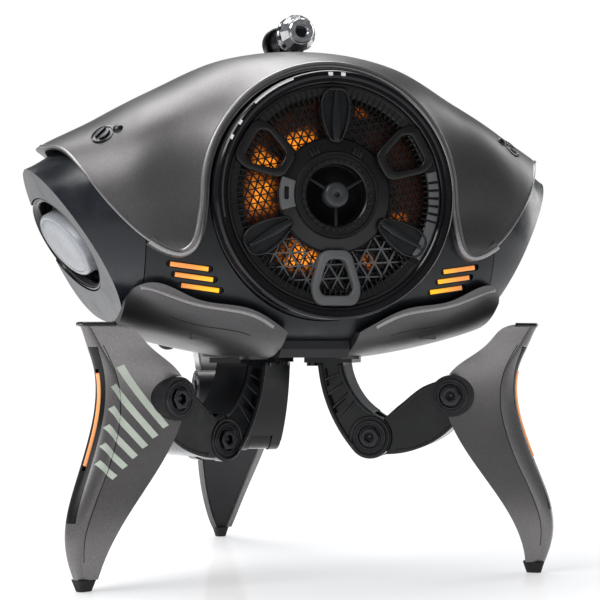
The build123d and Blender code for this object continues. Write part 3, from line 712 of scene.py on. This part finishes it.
def shell_point(x, t):
    """Point of the shell's outer face: one section of the body, swept up towards the lip."""
    front, back, above, below, power = smooth_curve(STATIONS, abs(x))
    grow = 3.0 + 2.2 * ease(74, 92, abs(x))
    across = math.copysign(abs(math.cos(t)) ** (2 / power), math.cos(t))
    upward = math.copysign(abs(math.sin(t)) ** (2 / power), math.sin(t))
    y = BODY_Y + across * ((back if across > 0 else front) + grow)
    z = BELT_Z + upward * ((above if upward > 0 else below) + grow)
    if across < 0:
        dip = valley(x, z) * ease(0, 0.5, -across)
        turn = math.atan2(max(z - RING_Z, 0), x)
        lip_x, lip_z = 44.4 * math.cos(turn), max(RING_Z + 44.4 * math.sin(turn), min(z, RING_Z))
        away = math.hypot(x - lip_x, z - lip_z) if math.hypot(x, max(z - RING_Z, 0)) > 44.4 else 0
        rise = max(LIP_FRONT - 0.6 - front_of(lip_x, lip_z, 3.0) + valley(lip_x, lip_z), 0.5)
        y += dip - rise * math.exp(-away / (3.2 + 0.42 * rise)) * ease(0, 0.4, -across)
    return x, y, z


columns, around = 150, 120
points, faces = [], []
for i in range(columns + 1):
    x = -93.6 + 187.2 * i / columns
    for j in range(around + 1):
        points.append(shell_point(x, -0.75 + (math.pi + 1.5) * j / around))
row = around + 1
for i in range(columns):
    for j in range(around):
        k = i * row + j
        faces.append((k, k + 1, k + row + 1, k + row))
upright = Matrix.Scale(MM, 4)
shell_mesh = mesh_of(points, faces, upright)


def cut(obj, mesh, operation):
    """Applies a boolean with a closed mesh."""
    tool = bpy.data.objects.new("tool", mesh)
    bpy.context.collection.objects.link(tool)
    modifier = obj.modifiers.new("cut", "BOOLEAN")
    modifier.operation = operation
    modifier.solver = "EXACT"
    modifier.object = tool
    bpy.context.view_layer.update()
    result = bpy.data.meshes.new_from_object(obj.evaluated_get(bpy.context.evaluated_depsgraph_get()))
    obj.modifiers.clear()
    obj.data = result
    bpy.data.objects.remove(tool)


def closed_copy(mesh, thickness):
    """Object with the mesh made into a closed skin, thickened towards the inside."""
    obj = bpy.data.objects.new("blank", mesh)
    bpy.context.collection.objects.link(obj)
    skin = obj.modifiers.new("skin", "SOLIDIFY")
    skin.thickness = thickness
    skin.offset = -1
    bpy.context.view_layer.update()
    obj.data = bpy.data.meshes.new_from_object(obj.evaluated_get(bpy.context.evaluated_depsgraph_get()))
    obj.modifiers.clear()
    return obj


edge_side = [(50.5 + 43.1 * i / 40, smooth_curve(EDGE, 50.5 + 43.1 * i / 40)[0]) for i in range(41)]
keep = ([(x, z - RING_Z) for x, z in edge_side] + [(93.7, 80), (-93.7, 80)]
        + [(-x, z - RING_Z) for x, z in reversed(edge_side)])
lobe = [(43.3, -4), (43.8, -9), (44.8, -14), (46.6, -17.6), (49.2, -19.8)]
arch_hole = (arc(43.0, 0, 180, 60) + [(-x, z) for x, z in lobe] + [(-49.2, -40), (49.2, -40)]
             + list(reversed(lobe)))
blank = closed_copy(shell_mesh, 0.0024)
cut(blank, plate([keep], front_frame(60), -80, 80), "INTERSECT")
cut(blank, plate([arch_hole], front_frame(0), -38, 8), "DIFFERENCE")
skin_mesh = blank.data
bpy.data.objects.remove(blank)
piece("shell_skin", skin_mesh, shell_paint, "body", ["top_shell"], smooth=40)


def swept(path, profile, name):
    """Band along a path given as (x, front, z): profile points are (outwards, forwards)."""
    points, faces = [], []
    count = len(profile)
    for i, (x, forward, z) in enumerate(path):
        before, after = path[max(i - 1, 0)], path[min(i + 1, len(path) - 1)]
        along = Vector((after[0] - before[0], after[2] - before[2])).normalized()
        out = Vector((-along.y, along.x))
        for a, b in profile:
            points.append((x + out.x * a, -forward - b, z + out.y * a))
    for i in range(len(path) - 1):
        for k in range(count):
            m = (k + 1) % count
            faces.append((i * count + k, i * count + m, (i + 1) * count + m, (i + 1) * count + k))
    faces.append(tuple(range(count)))
    faces.append(tuple(reversed([(len(path) - 1) * count + k for k in range(count)])))
    mesh = mesh_of(points, faces, upright)
    mesh.name = name
    return mesh


lobe_line = [(62, 117.0), (58, 114.6), (54.5, 113.2), (51.5, 112.9), (48.9, 114.2), (47.1, 116.8),
             (46.0, 120.5), (45.2, 125), (44.6, 129)]
lobe_knots = [(i, x, z) for i, (x, z) in enumerate(lobe_line)]
lobe_path = [tuple(smooth_curve(lobe_knots, 8 * i / 40)) for i in range(41)]
half_path = []
for x, z in lobe_path:
    level = ease(112, 128, z)
    half_path.append((x, level * LIP_FRONT + (1 - level) * (front_of(x, z, 3.0) + 0.3), z))
for x, z in arc(44.4, 0, 90, 40):
    half_path.append((x, LIP_FRONT, RING_Z + z))
lip_path = half_path + [(-x, f, z) for x, f, z in reversed(half_path[:-1])]
lip_profile = [(-1.5, -5), (-1.5, -0.5), (-1.2, -0.05), (-0.35, 0.1), (-0.2, -0.25), (0.0, -0.25),
               (0.15, 0.1), (1.0, -0.05), (1.5, -0.6), (1.7, -4)]
# The arched lip in the lighter gunmetal: painted highlight along the arch.
piece("arch_lip", swept(lip_path, lip_profile, "lip"), highlight_gunmetal, "body", smooth=50)


def tube(path, radius, sides=10):
    """Round rod along (x, y, z) points in millimetres."""
    points, faces = [], []
    for i, here in enumerate(path):
        here = Vector(here)
        along = (Vector(path[min(i + 1, len(path) - 1)]) - Vector(path[max(i - 1, 0)])).normalized()
        side = along.cross(Vector((0.13, 0.21, 0.97))).normalized()
        up = side.cross(along)
        for k in range(sides):
            a = 2 * math.pi * k / sides
            points.append(here + side * radius * math.cos(a) + up * radius * math.sin(a))
    for i in range(len(path) - 1):
        for k in range(sides):
            m = (k + 1) % sides
            faces.append((i * sides + k, i * sides + m, (i + 1) * sides + m, (i + 1) * sides + k))
    return mesh_of(points, faces, upright)


# Rim rod along each shoulder edge, in the lighter gunmetal of painted highlight.
trim = []
for sign in (1, -1):
    line = []
    for i in range(40):
        x = 60 + 33.2 * i / 39
        z = smooth_curve(EDGE, x)[0]
        grow = 3.0 + 2.2 * ease(74, 92, x)
        line.append((sign * x, -front_of(x, z, grow) + 0.5, z + 0.25))
    trim.append(tube(line, 0.55))
piece("edge_trim", trim, highlight_gunmetal, "body")

# ---------------------------------------------------------------- slits in the housing
def bar_path(side, x, z, length, sink):
    """Line along one sloping slit, this far below the housing's surface."""
    path = []
    tilt = math.radians(SLIT_TILT)
    for i in range(13):
        s = length * (i / 12 - 0.5)
        px = x + s * math.cos(tilt)
        pz = z + s * math.sin(tilt)
        path.append((side * px, front_of(px, pz, 0.0) - sink, pz))
    return path if side > 0 else path[::-1]


lights, recess_shades = [], []
for side in (1, -1):
    for x, z in SLIT_ROWS:
        lights.append(swept(bar_path(side, x, z, 12.6, 0.45),
                            [(-0.78, -1.4), (-0.78, -0.2), (-0.55, 0.0), (0.55, 0.0), (0.78, -0.2),
                             (0.78, -1.4)],
                            "light"))
        # Strip a shade darker than the housing behind each slot, round its light bar: painted shade in the
        # recess.
        recess_shades.append(swept(bar_path(side, x, z, 15.2, 1.0),
                            [(-1.13, -1.0), (-1.13, 0.0), (1.13, 0.0), (1.13, -1.0)], "recess_shade"))
piece("slit_light_bars", lights, amber_slit, "body", ["slit_lights"])
piece("slit_recess_shade", recess_shades, mesh_black, "body")


# ---------------------------------------------------------------- pods
def oval_ring(centre, tilt, place, profile, closed, steps=96):
    """Surface of tilted ellipses, each (long radius, short radius, height); closed makes a tube of them."""
    points, faces = [], []
    count = len(profile)
    for i in range(steps):
        a = 2 * math.pi * i / steps
        for long_r, short_r, h in profile:
            u, v = long_r * math.cos(a), short_r * math.sin(a)
            points.append((centre[0] + u * math.cos(tilt) - v * math.sin(tilt),
                           centre[1] + u * math.sin(tilt) + v * math.cos(tilt), h))
    for i in range(steps):
        j = (i + 1) % steps
        for k in range(count if closed else count - 1):
            m = (k + 1) % count
            faces.append((i * count + k, j * count + k, j * count + m, i * count + m))
    if not closed:
        faces.append(tuple(i * count for i in range(steps)))
        faces.append(tuple(reversed([i * count + count - 1 for i in range(steps)])))
    return mesh_of(points, faces, place)


RING_LIP = [(25.9, 17.9, -9.0), (25.9, 17.9, -0.9), (25.5, 17.5, -0.3), (24.9, 16.9, -0.2),
            (24.6, 16.6, -0.7), (24.1, 16.1, -0.9), (23.6, 15.6, -1.4), (23.2, 15.2, -3.0),
            (22.9, 14.9, -9.0)]
PLATE_CROWN = [(19.3, 11.3, -6.5), (19.3, 11.3, 0.0), (18.9, 10.9, 0.6), (18.3, 10.3, 0.85),
               (17.7, 9.7, 0.85), (17.5, 9.5, 0.7), (17.3, 9.3, 0.85), (12.0, 6.2, 1.0), (4.0, 2.0, 1.0)]
ROLL = [(22.6, 14.6, -7.4), (22.0, 14.0, -6.4), (21.2, 13.2, -6.1), (20.4, 12.4, -6.4), (19.9, 11.9, -7.4)]
rings, rolls = [], []
for side, name in ((1, "right"), (-1, "left")):
    centre = (OVAL_CENTRE[0], OVAL_CENTRE[1] * side)
    tilt = math.radians(OVAL_TILT * side)
    place = pod_frames[name]
    rings.append(oval_ring(centre, tilt, place, RING_LIP, True))
    rolls.append(oval_ring(centre, tilt, place, ROLL, True))
    crown = oval_ring(centre, tilt, place, PLATE_CROWN, False)
    piece(f"{name}_plate", crown, silver_paint, f"radiator_{name}", [f"{name}_radiator"],
          smooth=50)
piece("radiator_lips", rings, gloss_black, "body", ["radiator_frames"])
piece("radiator_rolls", rolls, rubber_black, "body",
      ["radiator_surrounds"])


# ---------------------------------------------------------------- bolts
def hexagon(radius, turn=0.0):
    """Six-sided outline."""
    return [(radius * math.cos(math.radians(60 * i + turn)), radius * math.sin(math.radians(60 * i + turn)))
            for i in range(6)]


BOSS = [(3.9, -0.8), (3.9, 0.1), (4.3, 0.5), (4.7, 0.5), (4.9, 0.2), (5.2, 0.2), (5.4, 0.5), (5.9, 0.5),
        (6.2, 0.1), (6.2, -0.8)]
SOCKET_FLOOR = [(0.0, -0.6), (0.0, 0.1), (0.7, 0.15), (1.0, -0.1), (2.1, -0.1), (2.1, -0.6)]


def bolt_head(leg, centre, side, face):
    """Boss with turned rings and a socket nut, on one face of a leg's hinge."""
    place = leg_frame(leg) @ Matrix.Translation((centre[0], centre[1], side * face))
    if side < 0:
        place = place @ Matrix.Rotation(math.pi, 4, "X")
    boss = lathe(BOSS, place, 64)
    nut = plate([rounded(hexagon(3.75), 0.4, 3), hexagon(1.9, 30)], place, -0.6, 1.3, 0.2)
    socket_floor = turned(SOCKET_FLOOR, place, 32)
    return [boss, nut, socket_floor]


def pin(leg, centre, half):
    """Shank of a hinge bolt."""
    return turned([(0.0, -half), (PIN_R, -half), (PIN_R, half), (0.0, half)],
                 leg_frame(leg) @ Matrix.Translation((*centre, 0)), 32)


for leg in LEGS:
    heads = bolt_head(leg, ANKLE, 1, EAR_HALF) + bolt_head(leg, ANKLE, -1, EAR_HALF)
    heads.append(pin(leg, ANKLE, 17.1))
    piece(f"{leg}_ankle_head", heads, bolt_black, f"claw_{leg}",
          [f"{leg}_ankle_bolt"])
knee_heads = []
for leg in LEGS:
    knee_heads += bolt_head(leg, KNEE, 1, ARM_HALF) + bolt_head(leg, KNEE, -1, ARM_HALF)
    knee_heads.append(pin(leg, KNEE, 7.7))
piece("knee_heads", knee_heads, bolt_black, "body", ["knee_bolts"])


# ---------------------------------------------------------------- claws
def surface_of(node_name):
    """Search tree over a CAD node's faces, in the row frame."""
    node = frame["nodes"][node_name]
    points = [node.matrix_world @ v.co for v in node.data.vertices]
    return BVHTree.FromPolygons(points, [tuple(f.vertices) for f in node.data.polygons])


def on_side(tree, leg, x, z, side, lift):
    """Point on a claw's side face at a place in the leg's plane, in leg coordinates."""
    place = leg_frame(leg)
    start = place @ Vector((x, z, side * 60))
    towards = (place @ Vector((x, z, 0)) - start).normalized()
    hit = tree.ray_cast(start, towards)[0]
    if hit is None:
        return None
    local = place.inverted() @ hit
    return Vector((local.x, local.y, local.z + side * lift))


def ribbon(tree, leg, side, start, end, width, lift):
    """Thin painted stripe laid on a claw's side face."""
    a, b = Vector(start), Vector(end)
    along = (b - a).normalized()
    across = Vector((-along.y, along.x))
    rows = []
    for i in range(15):
        centre = a + (b - a) * i / 14
        row = [on_side(tree, leg, *(centre + across * width * (k / 4 - 0.5)), side, lift) for k in range(5)]
        if None in row or abs(row[0].z - row[4].z) > 4:
            continue
        rows.append(row)
    points, faces = [], []
    for lower in (0.0, -0.09 * side):
        for row in rows:
            points += [p + Vector((0, 0, lower)) for p in row]
    half = len(rows) * 5
    for i in range(len(rows) - 1):
        for k in range(4):
            c = i * 5 + k
            faces.append((c, c + 1, c + 6, c + 5))
            faces.append((half + c, half + c + 5, half + c + 6, half + c + 1))
    edge = ([k for k in range(5)] + [5 * i + 4 for i in range(1, len(rows))]
            + [5 * (len(rows) - 1) + k for k in range(3, -1, -1)] + [5 * i for i in range(len(rows) - 2, 0,
                                                                                          -1)])
    for i, c in enumerate(edge):
        d = edge[(i + 1) % len(edge)]
        faces.append((c, half + c, half + d, d))
    return mesh_of(points, faces, leg_frame(leg))


CLAW_OUTER = [(1.2, 97.0), (8.0, 99.8), (18.5, 101.4), (30.0, 98.8), (42.0, 94.0), (54.0, 89.9), (63.0, 88.2),
              (70.0, 88.3), (76.0, 89.8), (83.0, 93.0), (89.2, 96.4)]


def leg_tube(leg, points, radius, sides=8):
    """Round rod through points given in leg coordinates."""
    mesh = tube(points, radius, sides)
    mesh.transform(leg_frame(leg) @ upright.inverted())
    return mesh


for leg in LEGS:
    shell_tree = surface_of(f"{leg}_claw_shell")
    rod = [(smooth_curve(CLAW_OUTER, z)[0] - 0.35, z, 0) for z in (41.6 + 31.0 * i / 24 for i in range(25))]
    piece(f"{leg}_light_rod", leg_tube(leg, rod, 0.85, 12), amber_strip, f"claw_{leg}",
          [f"{leg}_light_strip"])
    seams = []
    for side in (1, -1):
        seam = []
        for i in range(60):
            z = 10 + 72.0 * i / 59
            x = smooth_curve(CLAW_OUTER, z)[0] - 3.4 - 2.6 * math.sin(math.pi * i / 59)
            spot = on_side(shell_tree, leg, x, z, side, -0.05)
            if spot is not None:
                seam.append(tuple(spot))
        seams.append(leg_tube(leg, seam, 0.16, 6))
    piece(f"{leg}_seams", seams, mesh_black, f"claw_{leg}")

left_tree = surface_of("left_claw_shell")
stripes = []
for i in range(6):
    t = i / 5
    start = Vector((83.5, 75.0)).lerp(Vector((92.0, 43.0)), t)
    end = Vector((70.6, 54.4)).lerp(Vector((87.2, 37.8)), t)
    stripes.append(ribbon(left_tree, "left", -1, start, end, 2.1, 0.05))
piece("left_stripes", stripes, pale_stripe, "claw_left")

# ---------------------------------------------------------------- skirts
SKIRT_TOP = [(13, 86.4), (18, 89.6), (28, 94.4), (46, 97.6), (62, 102.9), (66, 101.2)]
skirt_knots = [(i, x, z) for i, (x, z) in enumerate(SKIRT_TOP)]


def skirt_line(tree, side, inset, lift, first, last):
    """Line below the skirt's top edge, lying on the skirt, as (x, forwards, z)."""
    line = []
    for i in range(61):
        x, z = smooth_curve(skirt_knots, first + (last - first) * i / 60)
        hit = tree.ray_cast(Vector((side * x, -200, z - inset)) * MM, Vector((0, 1, 0)))[0]
        if hit is not None:
            line.append((side * x, -hit.y / MM + lift, z - inset))
    return line if side < 0 else line[::-1]


# Top bands of the skirts in the lighter gunmetal: painted highlight along their bevelled edge.
bands, groove_shade_lines = [], []
for side, name in ((1, "right"), (-1, "left")):
    skirt_tree = surface_of(f"{name}_skirt")
    bands.append(swept(skirt_line(skirt_tree, side, 1.5, 0.0, 1.05, 4.3),
                       [(-0.9, -0.8), (-0.8, 0.12), (0.2, 0.3), (0.8, 0.0), (0.9, -0.8)], "band"))
    groove_shade_lines.append(swept(skirt_line(skirt_tree, side, 8.2, 0.0, 1.8, 3.4),
                         [(-0.22, -0.4), (-0.2, 0.05), (0.2, 0.05), (0.22, -0.4)], "groove_shade"))
piece("skirt_highlight_bands", bands, highlight_gunmetal, "body", smooth=50)
# Thin dark lines on the skirts, with no groove cut: painted shade of a groove.
piece("skirt_groove_shade", groove_shade_lines, mesh_black, "body")

# ---------------------------------------------------------------- shoulder screws
def slotted(place, radius, margin, steps, low, high, bevel):
    """Two halves of a round head, with the slot between them."""
    return [plate([arc(radius, start + margin, start + 180 - margin, steps)], place, low, high, bevel)
            for start in (180, 0)]


SEAT = [(0.0, -1.2), (4.3, -1.2), (4.3, 0.12), (3.7, 0.2), (3.1, -0.35), (0.0, -0.35)]
STUD = [(0.0, -1.5), (1.9, -1.5), (1.9, 0.1), (1.5, 0.75), (0.8, 1.1), (0.0, 1.2)]
screw_meshes, seat_meshes = [], []
for side in (1, -1):
    x = side * SCREW_X
    spot = Vector(shell_point(x, SCREW_TURN))
    beside, before = shell_point(x + side * 0.5, SCREW_TURN), shell_point(x - side * 0.5, SCREW_TURN)
    along_x = Vector(beside) - Vector(before)
    along_t = Vector(shell_point(x, SCREW_TURN + 0.01)) - Vector(shell_point(x, SCREW_TURN - 0.01))
    outward = along_x.cross(along_t).normalized()
    if outward.z < 0:
        outward = -outward
    place = local_frame(spot, (1, 0, 0), outward)
    seat_meshes.append(turned(SEAT, place, 48))
    screw_meshes += slotted(place @ Matrix.Rotation(0.6, 4, "Z"), 2.7, 20, 24, -0.5, 0.75, 0.15)
    bump_place = place @ Matrix.Translation((side * -5.6, -0.8, 0))
    screw_meshes.append(turned(STUD, bump_place, 32))
piece("screw_seats", seat_meshes, gloss_black, "body")
piece("screw_heads", screw_meshes, bolt_black, "body", ["shoulder_screws"])

# ---------------------------------------------------------------- knob and barrel
knob_front = local_frame((0, KNOB_FRONT, KNOB_Z), (1, 0, 0), (0, -1, 0))
nose = lathe([(2.1, -1.5), (2.1, -0.5), (2.5, 0.0), (4.2, 0.0), (4.6, -0.4), (4.6, -1.3), (2.1, -1.6)],
             knob_front, 64)
collar = lathe([(2.1, -1.0), (4.9, -1.2), (6.7, -5.4), (6.7, -7.6), (6.3, -8.0), (6.3, -8.6), (6.7, -9.0),
                (6.7, -10.8), (6.1, -11.6), (2.1, -11.6)], knob_front, 12)
piece("knob_collar", [nose, collar], knob_chrome, "knob", ["volume_knob"],
      smooth=20)
facets = []
for i in range(12):
    facets.append(plate([turned_to(rounded(bar(6.0, 6.86, 0.75), 0.2), 15 + 30 * i)], knob_front, -10.4,
                        -6.2, 0.1))
facets.append(turned([(0.0, -1.6), (2.3, -1.6), (2.3, -1.1), (1.2, -1.4), (0.0, -1.4)], knob_front, 32))
piece("knob_notches", facets, gloss_black, "knob")
ribs = []
for i in range(7):
    h = -13.4 - 2.0 * i
    ribs.append(lathe([(4.2, h - 0.5), (4.65, h - 0.35), (4.65, h + 0.35), (4.2, h + 0.5)], knob_front, 48))
piece("barrel_ribs", ribs, barrel_dark, "body")


# ---------------------------------------------------------------- arms
def three_point_arc(a, b, c, steps=24):
    """Points along the circle through three points."""
    ax, ay, bx, by, cx, cy = *a, *b, *c
    d = 2 * (ax * (by - cy) + bx * (cy - ay) + cx * (ay - by))
    a2, b2, c2 = ax * ax + ay * ay, bx * bx + by * by, cx * cx + cy * cy
    ux = (a2 * (by - cy) + b2 * (cy - ay) + c2 * (ay - by)) / d
    uy = (a2 * (cx - bx) + b2 * (ax - cx) + c2 * (bx - ax)) / d
    radius = math.hypot(ax - ux, ay - uy)
    start, mid, end = (math.atan2(y - uy, x - ux) for x, y in (a, b, c))
    turn = (end - start) % (2 * math.pi)
    if (mid - start) % (2 * math.pi) > turn:
        turn -= 2 * math.pi
    angles = [start + turn * i / steps for i in range(steps + 1)]
    return [(ux + radius * math.cos(a), uy + radius * math.sin(a)) for a in angles]


def strip(line, width):
    """Outline of a strip of this width on the left of a line."""
    other = []
    for i, here in enumerate(line):
        along = Vector(line[min(i + 1, len(line) - 1)]) - Vector(line[max(i - 1, 0)])
        across = Vector((-along.y, along.x)).normalized() * width
        other.append((here[0] + across.x, here[1] + across.y))
    return list(line) + other[::-1]


flanges = []
for leg in LEGS:
    place = leg_frame(leg)
    outer_line = three_point_arc((16.4, 75.2), (19.9, 59.5), (29.0, 44.2))
    inner_line = three_point_arc((25.0, 75.2), (29.3, 64.6), (36.6, 57.4))
    for side in (1, -1):
        low, high = sorted((side * 7.6, side * 8.5))
        flanges.append(plate([strip(outer_line, 1.5)], place, low, high, 0.3))
        flanges.append(plate([strip(inner_line[::-1], 1.5)], place, low, high, 0.3))
        for k in (4, 8, 12, 16):
            a, b = Vector(outer_line[k + 1]), Vector(inner_line[k])
            rung = [a.lerp(b, 0.1), a.lerp(b, 0.9)]
            flanges.append(plate([strip([tuple(p) for p in rung], 0.9)], place,
                                 *sorted((side * 7.6, side * 8.1)),
                                 0.2))
        ring_place = place @ Matrix.Translation((*KNEE, side * ARM_HALF))
        if side < 0:
            ring_place = ring_place @ Matrix.Rotation(math.pi, 4, "X")
        flanges.append(lathe([(6.5, -0.3), (6.5, 0.3), (6.8, 0.55), (7.4, 0.55), (7.7, 0.3), (7.7, -0.3)],
                             ring_place,
                             64))
piece("arm_flanges", flanges, arm_black, "body")

# ---------------------------------------------------------------- claw tops
CLAW_TOP = [(88.9, -11.4), (88.9, 11.4), (96.0, 1.4), (96.0, -1.4)]
for leg in LEGS:
    a = math.radians(LEGS[leg])
    top = local_frame((0, TRIPOD_Y, 89.0), (math.cos(a), math.sin(a), 0), (0, 0, 1))
    cap = plate([rounded(CLAW_TOP, 2.0, 6)], top, -0.6, 0.9, 0.5)
    piece(f"{leg}_claw_cap", cap, gloss_black, f"claw_{leg}")

# ---------------------------------------------------------------- links and rear panel
for leg in LEGS:
    upper = [(smooth_curve([(0, 44.2, 57.4), (1, 48.2, 61.3), (2, 55.0, 66.6), (3, 62.0, 69.4)], 3 * i / 24))
             for i in range(25)]
    lower = three_point_arc((45.4, 42.9), (54.2, 44.6), (69.6, 57.0))
    bands = []
    for side in (1, -1):
        low, high = sorted((side * 8.6, side * 9.05))
        bands.append(plate([strip([tuple(p) for p in upper][::-1], 1.3)], leg_frame(leg), low, high, 0.12))
        bands.append(plate([strip(lower, 1.3)], leg_frame(leg), low, high, 0.12))
    piece(f"{leg}_link_bands", bands, guard_satin, f"link_{leg}")

rear_rings = [lathe([(2.65, -0.5), (2.65, 0.25), (3.3, 0.25), (3.6, 0.0), (3.6, -0.5)],
                    rear_frame @ Matrix.Translation((AUX_X, 0, 0)), 48)]
for x in (-24.2, 24.2):
    for y in (-5.4, 5.4):
        spot = rear_frame @ Matrix.Translation((x, y, 0)) @ Matrix.Rotation(x + y, 4, "Z")
        rear_rings += slotted(spot, 1.15, 12, 14, -0.4, 0.2, 0.08)
piece("rear_fasteners", rear_rings, socket_steel, "body")
rear_marks = []
for x in (-5.0, 6.2, 7.8):
    mark = rounded([(x - 0.25, 4.3), (x + 0.25, 4.3), (x + 0.25, 5.9), (x - 0.25, 5.9)], 0.15)
    rear_marks.append(plate([mark], rear_frame, -0.2, 0.06))
rear_marks += [plate([sector(3.3, 3.65, 20, 160)], rear_frame @ Matrix.Translation((x, 0, 0)), -0.2, 0.06)
               for x in KEYS_X]
piece("rear_marks", rear_marks, pale_mark, "body")
